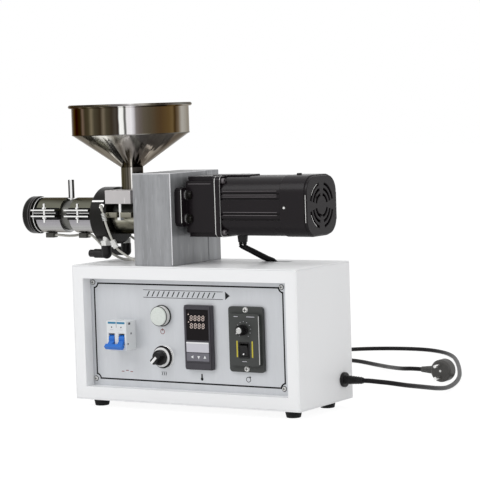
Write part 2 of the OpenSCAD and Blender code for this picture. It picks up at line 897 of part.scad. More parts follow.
// A half ring under the barrel with a flange on each side
module feed_cradle() {
    color("silver")
    difference() {
        union() {
            axis_rod(x_feed, feed_l, cradle_d);
            translate([x_feed, -feed_w / 2, z_flange - flange_t]) cube([feed_l, feed_w, flange_t]);
        }
        axis_rod(x_feed - eps, feed_l + 2 * eps, barrel_d + 2 * seat_gap);
        translate([x_feed - eps, -feed_w, z_flange]) cube([feed_l + 2 * eps, 2 * feed_w, cradle_d]);
        for (side = [-1, 1])
            translate([x_clamp, side * feed_w / 2, z_flange - flange_t - eps])
                linear_extrude(flange_t + 2 * eps) clamp_slot();
    }
}

// Bolts that draw the cradle and the heater ears together
module clamp_bolts() {
    ears_h = ear_gap + 2 * ear_t;
    color("silver") {
        for (side = [-1, 1])
            translate([x_clamp, side * clamp_pitch / 2, z_flange - flange_t]) {
                translate([0, 0, -bolt_head_h]) cylinder(h = bolt_head_h, d = bolt_head_d, $fn = 6);
                cylinder(h = z_feed - z_flange + flange_t, d = bolt_d);
            }
        for (x = [x_heater_front, x_heater_rear])
            translate([x + heater_l / 2, -heater_d / 2 - ear_l * 0.6, z_axis + ear_rise]) {
                translate([0, 0, -heater_nut_h]) cylinder(h = heater_nut_h, d = heater_nut_d, $fn = 6);
                translate([0, 0, ear_t]) cylinder(h = ear_gap, d = heater_bolt_d);
                translate([0, 0, ears_h]) cylinder(h = heater_nut_h, d = heater_nut_d, $fn = 6);
                translate([0, 0, ears_h + heater_nut_h - eps])
                    cylinder(h = heater_bolt_up + eps, d = heater_bolt_d);
                translate([0, 0, -heater_nut_h - heater_bolt_down])
                    cylinder(h = heater_bolt_down + eps, d = heater_bolt_d);
            }
    }
}

// The hopper

module at_hopper() {
    translate([x_hopper, 0, 0]) children();
}

module hopper_bowl() {
    color("silver")
    at_hopper() rotate_extrude() {
        translate([bowl_d / 2 - hopper_t, z_bowl]) square([hopper_t, bowl_h]);
        translate([bowl_d / 2 + bead_d / 2 - hopper_t / 2, z_rim - bead_d / 2]) circle(d = bead_d);
    }
}

module hopper_cone() {
    color("silver")
    at_hopper() rotate_extrude()
        polygon([[neck_d / 2 - hopper_t, z_cone], [neck_d / 2, z_cone], [bowl_d / 2, z_bowl],
            [bowl_d / 2 - hopper_t, z_bowl]]);
}

module hopper_neck() {
    color("silver")
    at_hopper() rotate_extrude()
        translate([neck_d / 2 - hopper_t, z_neck]) square([hopper_t, neck_h]);
}

// The leads of the barrel, from the heater terminals and the jacket to the gearbox.
// Their routes are shares of the pieces that they pass
z_lead = z_axis - heater_d / 2 - seat_gap - terminal_h / 2;
z_lay = z_deck + lead_d * 0.75;
terminal_end = terminal_inset + terminal_l + seat_gap;

module heater_leads() {
    color("ivory") {
        sweep(smooth([for (out = [0, 0.75, 1.5] * lead_d) [x_heater_front + terminal_end + out, 0, z_lead],
            [x_heater_front + heater_l, heater_d * 0.2, z_lead - lead_d * 0.4],
            [x_heater_rear + heater_l * 0.35, heater_d * 0.55, z_deck + axis_h * 0.63],
            [x_heater_rear + heater_l * 0.95, jacket_d * 0.5, z_deck + axis_h * 0.63],
            [x_jacket + jacket_l * 0.7, jacket_d * 0.54, z_deck + axis_h * 0.43],
            [x_feed + feed_l * 0.3, jacket_d * 0.53, z_deck + axis_h * 0.18],
            [x_feed + feed_l * 0.7, jacket_d * 0.52, z_lay],
            [x_gear - eps, jacket_d * 0.52, z_lay]], 4), lead_d, 8);
        sweep(smooth([for (out = [0, 0.75, 1.5] * lead_d) [x_heater_rear + terminal_end + out, 0, z_lead],
            [x_heater_rear + heater_l * 0.68, lead_d * 0.4, z_deck + axis_h * 0.46],
            [x_heater_rear + heater_l * 0.9, lead_d, z_deck + axis_h * 0.31],
            [x_jacket + jacket_l * 0.3, lead_d, z_deck + axis_h * 0.15],
            [x_jacket + jacket_l, lead_d, z_lay], [x_feed + feed_l / 2, lead_d, z_lay],
            [x_gear - eps, lead_d, z_lay]], 4), lead_d, 8);
    }
}

// It leaves the front of the jacket on a radius and drops past the cradle to the deck
wire_turn = 20;
wire_r = jacket_d / 2;

module thermocouple_lead() {
    color("ivory")
    sweep(smooth([for (r = [wire_r + seat_gap, wire_r + wire_d, wire_r + wire_d * 1.8])
            [x_jacket + jacket_l * 0.85, -r * cos(wire_turn), z_axis + r * sin(wire_turn)],
        [x_jacket + jacket_l * 1.08, -wire_r * 1.15, z_deck + axis_h * 1.08],
        [x_feed + feed_l * 0.12, -wire_r * 1.15, z_deck + axis_h * 0.82],
        [x_feed + feed_l * 0.27, -wire_r * 1.1, z_deck + axis_h * 0.54],
        [x_feed + feed_l * 0.38, -wire_r, z_deck + axis_h * 0.34],
        [x_feed + feed_l * 0.62, -wire_r * 0.93, z_deck + axis_h * 0.21],
        [x_feed + feed_l * 0.88, -wire_r * 0.88, z_deck + axis_h * 0.11],
        [x_gear - feed_gap / 2, -wire_r * 0.86, z_deck + wire_d * 0.7],
        [x_gear - eps, -wire_r * 0.86, z_deck + wire_d * 0.7]], 4), wire_d, 8);
}

// The mains lead

gland_hole_d = 12;
gland_flange_d = 22;
boot_d = 13;

module mains_gland() {
    color([0.1, 0.1, 0.1])
    translate([x_right, y_front + gland_y, z_base + gland_z]) rotate([0, 90, 0]) {
        translate([0, 0, -sheet_t - 2]) cylinder(h = sheet_t + 2 + eps, d = gland_hole_d - 2 * seat_gap);
        cylinder(h = 5, d = gland_flange_d);
        cylinder(h = gland_l, d1 = boot_d, d2 = cord_d + 2);
    }
}

// Route of the cord along its middle, from the boot to the plug
cord_start = [x_right + gland_l + seat_gap, y_front + gland_y, z_base + gland_z];
CORD_ROUTE = [
    [310, 49.5, 43], [322, 52, 42], [334, 60, 40], [343, 74, 36.5], [348, 95, 32], [350, 122, 27],
    [349, 155, 21], [345, 195, 14], [337, 240, 8], [325, 288, 5], [308, 340, 4], [286, 394, 4],
    [260, 448, 4], [231, 504, 4], [200, 560, 4], [167, 612, 4], [128, 654, 4], [80, 678, 4],
    [24, 676, 4], [-30, 654, 4], [-68, 616, 4], [-78, 570, 4], [-54, 532, 4], [-8, 514, 4],
    [42, 500, 4], [90, 472, 4], [132, 434, 7], [170, 392, 12], [200, 362, 16], [221, 353, 18]
];
plug_at = [278, 352, plug_d / 2];
plug_neck = 20;
cord_end = plug_at - [plug_d / 2 + plug_neck + seat_gap, 0, 0];

module mains_cord() {
    color("black")
    sweep(smooth(concat([cord_start], CORD_ROUTE, [cord_end]), 2), cord_d, 8);
}

// A round angled plug that stands on its rim, with its pins to the front
module mains_plug() {
    plug_t = 22;
    plug_edge = 3;
    plug_r = plug_d / 2;
    neck_base_d = 14;
    neck_sunk = 4;
    pin_d = 4.8;
    pin_l = 19;
    pin_pitch = 19;
    color("dimgray")
    translate(plug_at) {
        rotate([90, 0, 0]) translate([0, 0, -plug_t / 2]) rotate_extrude()
            polygon([[0, 0], [plug_r - plug_edge, 0], [plug_r, plug_edge], [plug_r, plug_t - plug_edge],
                [plug_r - plug_edge, plug_t], [0, plug_t]]);
        rotate([0, -90, 0]) translate([0, 0, plug_r - neck_sunk])
            cylinder(h = plug_neck + neck_sunk, d1 = neck_base_d, d2 = cord_d + 2);
        for (z = [-1, 1])
            translate([0, eps - plug_t / 2, z * pin_pitch / 2]) rotate([90, 0, 0])
                cylinder(h = pin_l, d = pin_d);
    }
}

base_plate();
deck_plate();
left_side();
right_side();
back_panel();
front_frame();
feet();
control_panel();
breaker_body();
breaker_toggle();
lamp_bezel();
lamp_lens();
selector_bezel();
selector_knob();
temp_controller();
speed_plate();
speed_knob();
speed_rocker();
gearbox_body();
gearbox_rear();
gearhead();
motor_bell();
motor_frame();
fan_cowl();
motor_gland();
motor_leads();
barrel();
feed_screw();
die_nut();
die_plate();
heater_front();
heater_rear();
heater_terminals();
probe_tube();
cooling_jacket();
coolant_collars();
coolant_elbows();
feed_block();
feed_cradle();
clamp_bolts();
hopper_bowl();
hopper_cone();
hopper_neck();
heater_leads();
thermocouple_lead();
mains_gland();
mains_cord();
mains_plug();
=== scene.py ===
"""Dresses the filament extruder: finishes on its solids, small fittings, lead and studio."""

import logging
import math
from dataclasses import dataclass, field
from enum import Enum
from typing import Any, Sequence

import bmesh
import bpy
from mathutils import Matrix, Vector


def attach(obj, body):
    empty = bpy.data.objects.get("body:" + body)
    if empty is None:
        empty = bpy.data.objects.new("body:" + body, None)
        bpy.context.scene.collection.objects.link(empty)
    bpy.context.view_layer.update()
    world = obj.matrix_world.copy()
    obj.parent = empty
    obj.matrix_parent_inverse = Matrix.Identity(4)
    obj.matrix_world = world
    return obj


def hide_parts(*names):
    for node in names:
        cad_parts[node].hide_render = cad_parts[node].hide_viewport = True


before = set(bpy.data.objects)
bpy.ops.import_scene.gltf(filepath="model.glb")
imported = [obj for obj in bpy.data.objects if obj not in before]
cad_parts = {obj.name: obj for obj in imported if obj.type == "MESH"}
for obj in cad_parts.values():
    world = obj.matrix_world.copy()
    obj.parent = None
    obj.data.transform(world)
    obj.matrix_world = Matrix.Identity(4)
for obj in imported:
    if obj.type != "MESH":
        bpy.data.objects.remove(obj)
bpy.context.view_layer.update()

LOG = logging.getLogger("extruder")
MM = 0.001
MACHINE = "machine"
RIGHT, LEFT, BACK, FRONT, UP = (1, 0, 0), (-1, 0, 0), (0, 1, 0), (0, -1, 0), (0, 0, 1)
# The height of a printed mark in millimetres, and the angle in degrees above which an edge is sharp
INK = 0.12
SHARP = 32.0

Colour = tuple[float, float, float]
Point = tuple[float, float, float]
Outline = Sequence[tuple[float, float]]
Stops = tuple[tuple[float, Colour], ...]
Seats = Sequence[tuple[Point, Point]]


class Sock:
    """A socket of a node tree that can stand in a Python expression."""

    def __init__(self, graph: "Graph", socket: bpy.types.NodeSocket) -> None:
        """Keeps the socket and the graph that it belongs to."""
        self.graph, self.socket = graph, socket

    def _math(self, operation: str, first: Any, second: Any) -> "Sock":
        """Adds one Math node for an operator."""
        return self.graph.node("ShaderNodeMath", {"operation": operation}, {0: first, 1: second})

    def __add__(self, other: Any) -> "Sock":
        """Sum with a number or a socket."""
        return self._math("ADD", self, other)

    def __sub__(self, other: Any) -> "Sock":
        """Difference from a number or a socket."""
        return self._math("SUBTRACT", self, other)

    def __rsub__(self, other: Any) -> "Sock":
        """Difference of a number and this socket."""
        return self._math("SUBTRACT", other, self)

    def __mul__(self, other: Any) -> "Sock":
        """Product with a number or a socket."""
        return self._math("MULTIPLY", self, other)

    __radd__, __rmul__ = __add__, __mul__

    def clip(self) -> "Sock":
        """The value held between 0 and 1."""
        return self.graph.node("ShaderNodeClamp", {}, {0: self})

    def band(self, low: float, high: float) -> "Sock":
        """A smooth rise from 0 at low to 1 at high."""
        return self.graph.node(
            "ShaderNodeMapRange", {"interpolation_type": "SMOOTHSTEP"}, {0: self, 1: low, 2: high})

    def ramp(self, stops: Stops) -> "Sock":
        """A colour that runs through the stops as the value goes from 0 to 1."""
        return self.graph.node("ShaderNodeValToRGB", {"stops": stops}, {0: self})


class Graph:
    """A node tree that is filled by code."""

    def __init__(self, tree: bpy.types.NodeTree) -> None:
        """Takes a tree over and empties it."""
        self.tree = tree
        tree.nodes.clear()

    def feed(self, socket: bpy.types.NodeSocket, value: Any) -> None:
        """Links an input to one output or to a list of them, or gives it a plain value."""
        if isinstance(value, list):
            for one in value:
                self.feed(socket, one)
        elif isinstance(value, Sock):
            self.tree.links.new(value.socket, socket)
        else:
            socket.default_value = (*value, 1.0) if socket.type == "RGBA" else value

    def node(self, kind: str, settings: dict[str, Any] | None = None,
             inputs: dict[Any, Any] | None = None, outlet: int | str = 0) -> Sock | None:
        """Adds any node.

        Args:
            kind: The node's type.
            settings: Its properties, set before its sockets; "stops" fills a colour ramp.
            inputs: Values or sockets by input name or index.
            outlet: The output that is returned.

        Returns:
            The chosen output, where the node has any.
        """
        made = self.tree.nodes.new(kind)
        for key, value in (settings or {}).items():
            if key == "stops":
                self._fill_ramp(made.color_ramp, value)
            else:
                setattr(made, key, value)
        for key, value in (inputs or {}).items():
            self.feed(made.inputs[key], value)
        return Sock(self, made.outputs[outlet]) if made.outputs else None

    @staticmethod
    def _fill_ramp(ramp: bpy.types.ColorRamp, stops: Stops) -> None:
        """Gives a ramp its stops, the first two in the elements that it starts with."""
        while len(ramp.elements) < len(stops):
            ramp.elements.new(1.0)
        for element, (place, colour) in zip(ramp.elements, stops):
            element.position = place
            element.color = (*colour, 1.0)

    def in_view(self) -> Sock:
        """1 for rays that show something to the camera, straight, mirrored or through glass, else 0."""
        kinds = ("Camera", "Glossy", "Transmission")
        return sum(self.node("ShaderNodeLightPath", outlet=f"Is {kind} Ray") for kind in kinds).clip()


class Shader(Graph):
    """The tree of one material, round one Principled shader."""

    def __init__(self, name: str) -> None:
        """Starts a material with its shader and output."""
        self.material = bpy.data.materials.new(name)
        self.material.use_nodes = True
        super().__init__(self.material.node_tree)
        self.principled = self.tree.nodes.new("ShaderNodeBsdfPrincipled")
        self.surface = Sock(self, self.principled.outputs[0])
        self.outlet = self.tree.nodes.new("ShaderNodeOutputMaterial").inputs[0]
        self.feed(self.outlet, self.surface)

    def vector(self, operation: str, first: Any, second: Any = (0, 0, 0), outlet: str = "Vector") -> Sock:
        """Adds one Vector Math node."""
        return self.node("ShaderNodeVectorMath", {"operation": operation}, {0: first, 1: second}, outlet)

    def place(self, scale: Point = (1, 1, 1), centre: Point = (0, 0, 0)) -> Sock:
        """Object coordinates about a centre in metres, stretched by a scale."""
        here = self.node("ShaderNodeTexCoord", outlet="Object")
        return self.vector("MULTIPLY", self.vector("SUBTRACT", here, centre), scale)

    def noise(self, where: Sock, scale: float, detail: float) -> Sock:
        """A noise value from 0 to 1."""
        return self.node("ShaderNodeTexNoise", {}, {"Vector": where, "Scale": scale, "Detail": detail})

    def cells(self, scale: Point) -> Sock:
        """The distance from the middle of the nearest of many small cells."""
        return self.node("ShaderNodeTexVoronoi", {"feature": "F1"},
                         {"Vector": self.place(scale), "Scale": 1.0})

    def mix(self, share: Any, first: Any, second: Any) -> Sock:
        """A colour between two colours."""
        return self.node("ShaderNodeMix", {"data_type": "RGBA"}, {0: share, 6: first, 7: second}, outlet=2)

    def stain(self, share: Any, colour: Colour, factor: float) -> Sock:
        """A colour that turns darker or lighter by a factor."""
        return self.mix(share, colour, tone(colour, factor))

    def bump(self, height: Sock, depth: float, strength: float) -> Sock:
        """A normal that follows a height, in metres."""
        return self.node("ShaderNodeBump", {}, {"Height": height, "Distance": depth, "Strength": strength})

    def shade(self, **inputs: Any) -> None:
        """Feeds the shader's sockets, named with _ for a blank."""
        for key, value in inputs.items():
            self.feed(self.principled.inputs[key.replace("_", " ")], value)


def tone(colour: Colour, share: float) -> Colour:
    """A colour made darker or lighter by a factor."""
    return tuple(min(1.0, c * share) for c in colour)


@dataclass(frozen=True)
class Finish:
    """A surface finish, with the name of the slot that it belongs to."""

    name: str
    slot: str
    colour: Colour
    roughness: float = 0.4
    gloss: float = field(default=0.5, kw_only=True)

    def material(self) -> bpy.types.Material:
        """The material of this finish, drawn once."""
        known = bpy.data.materials.get(self.name + "_finish")
        if known:
            return known
        graph = Shader(self.name + "_finish")
        self.draw(graph)
        graph.material.diffuse_color = (*self.colour, 1.0)
        return graph.material

    def draw(self, g: Shader) -> None:
        """Draws a moulded skin: fine grain, a little mottling and worn gloss."""
        where = g.place()
        grain = g.noise(where, scale=1400.0, detail=3.0)
        mottle = g.noise(where, scale=24.0, detail=3.0)
        g.shade(Base_Color=g.stain(mottle * 0.5, self.colour, 0.82),
                Roughness=self.roughness + 0.16 * (grain - 0.5) + 0.1 * (mottle - 0.5),
                Specular_IOR_Level=self.gloss, Normal=g.bump(grain, depth=0.00006, strength=0.35))


@dataclass(frozen=True)
class PaintedSteel(Finish):
    """Powder coat on sheet steel, with a slight orange peel."""

    def draw(self, g: Shader) -> None:
        """Draws the peel, soft clouds and a faint darkening near the floor."""
        where = g.place()
        peel = g.noise(where, scale=520.0, detail=2.0)
        cloud = g.noise(where, scale=7.0, detail=3.0)
        height = g.node("ShaderNodeSeparateXYZ", {}, {0: where}, outlet="Z")
        # Darker within 5 cm of the floor, in soft patches.
        patchy_tone = (1.0 - height.band(0.0, 0.05)) * 0.5 * cloud
        clean = g.stain(cloud * 0.4, self.colour, 0.96)
        g.shade(Base_Color=g.mix(patchy_tone, clean, tone(self.colour, 0.85)),
                Roughness=self.roughness + 0.14 * (peel - 0.5), Coat_Weight=0.15, Coat_Roughness=0.25,
                Normal=g.bump(peel, depth=0.0001, strength=0.22))


@dataclass(frozen=True)
class StreakedMetal(Finish):
    """Bare metal with tool marks along one direction."""

    along: Point = (60.0, 60.0, 5.0)
    contrast: float = 0.5
    metallic: float = 0.75
    scratch: float = field(default=0.35, kw_only=True)

    def draw(self, g: Shader) -> None:
        """Draws broad smears, fine lines and a few bright scratches along the grain."""
        smear, lines, streaks = (
            g.noise(g.place(tuple(a * fine for a in self.along)), scale=1.0, detail=detail)
            for fine, detail in ((1.0, 5.0), (14.0, 3.0), (5.0, 1.0)))
        cloud = g.noise(g.place(), scale=16.0, detail=2.0)
        share = ((smear - 0.5) * 1.6 + (lines - 0.5) * 0.7 + (cloud - 0.5) * 0.5 + 0.5).clip()
        body = g.mix(share, tone(self.colour, 1.0 - 0.55 * self.contrast),
                     tone(self.colour, 1.0 + 0.45 * self.contrast))
        marks = streaks.band(0.68, 0.74) * self.scratch
        g.shade(Base_Color=g.mix(marks, body, tone(self.colour, 1.7)), Metallic=self.metallic,
                Roughness=self.roughness + 0.22 * (lines - 0.5) + 0.12 * (smear - 0.5),
                Normal=g.bump(lines, depth=0.00004, strength=0.3))


class Turn(Enum):
    """The line that a polished piece was turned about: the side where its painted reflection bands end, and a
    mask across it.
    """

    UPRIGHT = ((0.8178, 0.5754, 0.0), (1.0, 1.0, 0.0))
    ALONG_SCREW = ((0.0, 0.0, 1.0), (0.0, 1.0, 1.0))


@dataclass(frozen=True)
class SteelWithPaintedReflections(Finish):
    """Mirror-like turned steel, whose reflections are painted as colour bands that run along the piece, as a
    spun surface shows them.
    """

    turn: Turn = Turn.UPRIGHT
    centre: Point = (0.0, 0.0, 0.0)
    stops: Stops = ()
    ripple: float = 0.05
    grime: float = field(default=0.3, kw_only=True)

    def draw(self, g: Shader) -> None:
        """Draws the painted reflection bands over the turn, broken a little by ripples and fine turning
        lines.
        """
        reflection_across, mask = self.turn.value
        out = g.vector("NORMALIZE", g.place(mask, self.centre))
        side = g.vector("DOT_PRODUCT", out, reflection_across, outlet="Value")
        wave = g.noise(g.place((30.0, 30.0, 30.0)), scale=1.0, detail=2.0)
        thin = g.noise(out, scale=14.0, detail=3.0)
        # Painted reflections: the colour runs through the bands with the surface's direction across the turn.
        bands = (0.5 + 0.5 * side + self.ripple * (wave - 0.5)).clip().ramp(self.stops)
        g.shade(Base_Color=g.mix((thin - 0.4).clip() * self.grime, bands, tone(self.colour, 0.35)),
                Metallic=1.0, Specular_Tint=(0.45, 0.42, 0.38),
                Roughness=self.roughness + 0.1 * (thin - 0.5) + 0.06 * (wave - 0.5),
                Normal=g.bump(thin, depth=0.00003, strength=0.12))


@dataclass(frozen=True)
class Enamel(Finish):
    """Black gloss paint over castings, with a thin coat."""

    def draw(self, g: Shader) -> None:
        """Draws the casting's slight texture and dust that dulls the gloss."""
        where = g.place()
        cast = g.noise(where, scale=240.0, detail=3.0)
        patchy_tone = g.noise(where, scale=18.0, detail=4.0)
        g.shade(Base_Color=g.stain(patchy_tone * 0.6, self.colour, 1.9),
                Roughness=self.roughness + 0.2 * (patchy_tone - 0.5), Specular_IOR_Level=self.gloss,
                Coat_Weight=0.05, Coat_Roughness=0.12, Normal=g.bump(cast, depth=0.00015, strength=0.2))


@dataclass(frozen=True)
class Plated(Finish):
    """Bright plating on small fittings."""

    metallic: float = field(default=1.0, kw_only=True)
    tarnish: float = field(default=0.35, kw_only=True)

    def draw(self, g: Shader) -> None:
        """Draws faint tarnish over plating."""
        dull = g.noise(g.place(), scale=120.0, detail=3.0)
        g.shade(Base_Color=g.stain(dull * self.tarnish, self.colour, 0.6),
                Metallic=self.metallic, Roughness=self.roughness + 0.15 * (dull - 0.5))


@dataclass(frozen=True)
class Woven(Finish):
    """A braided sleeve on a lead."""

    def draw(self, g: Shader) -> None:
        """Draws the braid as small raised cells, with soil between them."""
        soil = g.noise(g.place(), scale=45.0, detail=3.0)
        g.shade(Base_Color=g.stain(soil * 0.7, self.colour, 0.62), Roughness=0.8,
                Normal=g.bump(g.cells((900.0, 900.0, 900.0)), depth=0.0003, strength=0.5))


@dataclass(frozen=True)
class Lens(Finish):
    """A frosted clear cap over a white reflector."""

    def draw(self, g: Shader) -> None:
        """Draws moulded facets under a gloss skin."""
        facet = g.cells((420.0, 60.0, 420.0))
        g.shade(Base_Color=g.stain(facet * 0.6, self.colour, 0.82), Roughness=0.18,
                Coat_Weight=0.5, Coat_Roughness=0.05, Normal=g.bump(facet, depth=0.0002, strength=0.3))


@dataclass(frozen=True)
class Lit(Finish):
    """A lit element of the display."""

    def draw(self, g: Shader) -> None:
        """Draws a glow that fades a little over each element."""
        fade = g.noise(g.place(), scale=300.0, detail=1.0)
        g.shade(Base_Color=tone(self.colour, 0.6), Roughness=0.5, Emission_Strength=0.55,
                Emission_Color=g.stain(fade * 0.6, self.colour, 0.6))


def bands(*rows: tuple[float, float, float, float]) -> Stops:
    """Ramp stops of painted reflection bands from rows of place, red, green and blue, all in percent."""
    return tuple((place / 100, tuple(c / 100 for c in colour)) for place, *colour in rows)


# Painted reflections of the polished steel pieces, as light and dark colour bands across each turn.
BOWL_REFLECTION_STOPS = bands(
    (0, 6, 4, 2), (2.5, 8, 5, 3), (4.5, 2, 1, 0.5), (8.5, 3, 2, 1), (10, 16, 11, 8), (12, 4, 3, 1.5),
    (15, 5, 4, 2), (17.5, 17, 14, 9), (20, 6, 5, 3), (25, 3, 2, 1), (27.5, 16, 13, 9), (30, 6, 5, 3),
    (34.5, 3.5, 2.5, 1.5), (37.5, 6, 5, 4), (40, 3, 2, 1.5), (41, 95, 95, 92), (44, 95, 95, 92),
    (44.8, 12, 12, 11), (46, 14, 14, 13), (46.8, 80, 78, 78), (50.5, 82, 80, 82), (53, 50, 48, 50),
    (54.5, 19, 17, 16), (57.5, 12, 10, 9), (61, 9, 7.5, 5.5), (66, 7, 5.5, 3.5), (75, 7, 4, 1.6),
    (82, 10, 6, 2), (85, 13, 8.5, 3.5), (87, 4, 2, 0.5), (90, 15, 11, 7), (93, 44, 42, 38))
CONE_REFLECTION_STOPS = bands(
    (0, 12, 11, 10), (5, 18, 17, 15), (10, 32, 31, 28), (16, 30, 28, 25), (18, 95, 93, 86), (28, 95, 93, 87),
    (31, 60, 58, 52), (36, 35, 32, 27), (40, 80, 77, 70), (46, 98, 96, 92), (50.5, 98, 95, 90),
    (53, 75, 72, 68), (58, 45, 42, 40), (65, 50, 45, 40), (80, 38, 34, 29), (86, 28, 26, 24),
    (91, 14, 12.5, 11.5), (100, 12, 11, 10))
NECK_REFLECTION_STOPS = bands(
    (0, 5, 4.5, 3.3), (4, 15, 14, 10), (8, 3, 2.7, 1.4), (14, 8, 7, 4.5), (18, 4.5, 3.8, 2.2), (24, 10, 9, 7),
    (31, 3, 2.6, 1.6), (36, 18, 16, 13.5), (42, 12, 11, 9), (44.5, 92, 90, 87), (49, 90, 88, 85),
    (51, 12, 11, 9.5), (56, 5, 4.5, 4), (100, 3, 2.7, 2.5))
RIM_REFLECTION_STOPS = bands(
    (0, 6, 5, 4), (8, 4, 3, 2), (20, 3.5, 3, 2), (32, 4.5, 4, 3), (40, 14, 13, 13), (47, 28, 27, 27),
    (50, 50, 49, 49), (54, 28, 27, 26), (62, 16, 15, 13), (67, 4.5, 4, 3), (76, 3, 2.5, 2), (82, 8, 7, 6),
    (90, 18, 18, 16), (100, 14, 14, 14))
HEATER_REFLECTION_STOPS = bands(
    (0, 46, 46, 46), (16, 42, 42, 42), (27, 36, 35, 37), (39, 32, 31, 33), (42, 4, 4, 4), (50, 3, 3, 3),
    (58, 8, 8, 6), (70, 13, 13, 10), (86, 15, 15, 12), (95, 8, 8, 6.5), (100, 5, 5, 4))
CRADLE_REFLECTION_STOPS = bands(
    (0, 6, 6, 5), (12, 5, 5, 4), (18, 24, 23, 18), (32, 18, 17, 13), (38, 42, 41, 34), (46, 14, 13, 10),
    (60, 30, 29, 24), (100, 20, 19, 16))
TUBE_REFLECTION_STOPS = bands(
    (0, 4, 4, 4), (22, 3, 3, 3), (32, 80, 80, 80), (60, 90, 90, 90), (68, 3, 3, 3), (90, 4, 4, 4),
    (100, 25, 25, 24))

HOPPER_X = -68.75
PROBE_X = -186.25
SCREW_Z = 288.5
PANEL_Y = -57.5


HOPPER_LINE = (Turn.UPRIGHT, (HOPPER_X * MM, 0.0, 0.0))
PROBE_LINE = (Turn.UPRIGHT, (PROBE_X * MM, 0.0, 0.0))
SCREW_LINE = (Turn.ALONG_SCREW, (0.0, 0.0, SCREW_Z * MM))
WARM = (0.2, 0.18, 0.15)
WHITE_PAINT = PaintedSteel("white_paint", "white_paint", (0.88, 0.885, 0.895), 0.42)
PANEL_SHEET = StreakedMetal("panel_sheet", "brushed_panel", (0.60, 0.615, 0.64), 0.38, (60.0, 60.0, 5.0),
                            0.10, 0.3, scratch=0.04)
MILLED = StreakedMetal("milled_block", "milled_aluminium", (0.29, 0.295, 0.305), 0.42, (75.0, 75.0, 6.0),
                       0.55, 0.55)
FEED_METAL = StreakedMetal("feed_metal", "milled_aluminium", (0.52, 0.50, 0.50), 0.5, (40.0, 40.0, 8.0), 0.12,
                           0.3)
TOOL_STEEL = StreakedMetal("tool_steel", "tool_steel", (0.13, 0.13, 0.12), 0.4, (8.0, 60.0, 60.0), 0.4, 0.8)
# Polished steels whose reflections are painted into their colour.
BOWL_STEEL = SteelWithPaintedReflections("bowl_steel", "polished_steel", WARM, 0.12, *HOPPER_LINE, BOWL_REFLECTION_STOPS, 0.012)
RIM_STEEL = SteelWithPaintedReflections("rim_steel", "polished_steel", WARM, 0.2, *HOPPER_LINE, RIM_REFLECTION_STOPS, 0.02)
CONE_STEEL = SteelWithPaintedReflections("cone_steel", "polished_steel", WARM, 0.14, *HOPPER_LINE, CONE_REFLECTION_STOPS, 0.07)
NECK_STEEL = SteelWithPaintedReflections("neck_steel", "polished_steel", WARM, 0.16, *HOPPER_LINE, NECK_REFLECTION_STOPS, 0.015)
TUBE_STEEL = SteelWithPaintedReflections("tube_steel", "polished_steel", (0.2, 0.2, 0.2), 0.15, *PROBE_LINE,
                           TUBE_REFLECTION_STOPS, 0.02)
HEATER_STEEL = SteelWithPaintedReflections("heater_steel", "polished_steel", (0.2, 0.2, 0.18), 0.22, *SCREW_LINE,
                             HEATER_REFLECTION_STOPS, 0.12, grime=0.5)
CRADLE_STEEL = SteelWithPaintedReflections("cradle_steel", "polished_steel", (0.2, 0.2, 0.16), 0.25, *SCREW_LINE,
                             CRADLE_REFLECTION_STOPS, 0.05)
# Bright plating for fittings, also used for strips that paint highlights on the heater ears and the jacket.
BRIGHT_PLATE_AND_HIGHLIGHTS = Plated("bright_plating", "chrome", (0.90, 0.90, 0.89), 0.22)
# Pale plating for fittings and collars, also used for strips and rings that paint highlights on edges and
# joints.
PALE_PLATE_AND_HIGHLIGHTS = Plated("pale_plating", "chrome", (0.80, 0.80, 0.78), 0.35, metallic=0.25, tarnish=0.2)
# Steel for screw heads and caps, also used for a ring that paints a highlight at the bell's joint.
STEEL_HEAD_AND_HIGHLIGHT = Plated("steel_head", "chrome", (0.55, 0.55, 0.54), 0.3)
# Pale strips that paint highlights on edges.
EDGE_HIGHLIGHT_PAINT = Plated("worn_edge", "milled_aluminium", (0.88, 0.88, 0.90), 0.4, metallic=0.2, tarnish=0.5)
BLACK_ENAMEL = Enamel("black_enamel", "black_paint", (0.0065, 0.0048, 0.006), 0.3, gloss=0.14)
# Dark grey enamel: the colour of the bell's bolts, and of lighter ribs and rings that paint highlights on
# black parts.
GREY_ENAMEL_AND_HIGHLIGHTS = Enamel("rib_enamel", "black_paint", (0.10, 0.09, 0.095), 0.35, gloss=0.35)
BLACK_OXIDE = Enamel("black_oxide", "black_oxide", (0.0055, 0.0050, 0.0042), 0.28, gloss=0.12)
BLACK_MOULD = Finish("black_mould", "black_plastic", (0.007, 0.0065, 0.007), 0.35, gloss=0.25)
GREY_MOULD = Finish("grey_mould", "grey_plastic", (0.044, 0.041, 0.05), 0.45, gloss=0.35)
SLATE_MOULD = Finish("slate_mould", "grey_plastic", (0.044, 0.047, 0.045), 0.5, gloss=0.35)
KEY_GREY = Finish("key_grey", "grey_plastic", (0.15, 0.145, 0.17), 0.5)
BAND_GREY = Finish("band_grey", "grey_plastic", (0.58, 0.57, 0.62), 0.4)
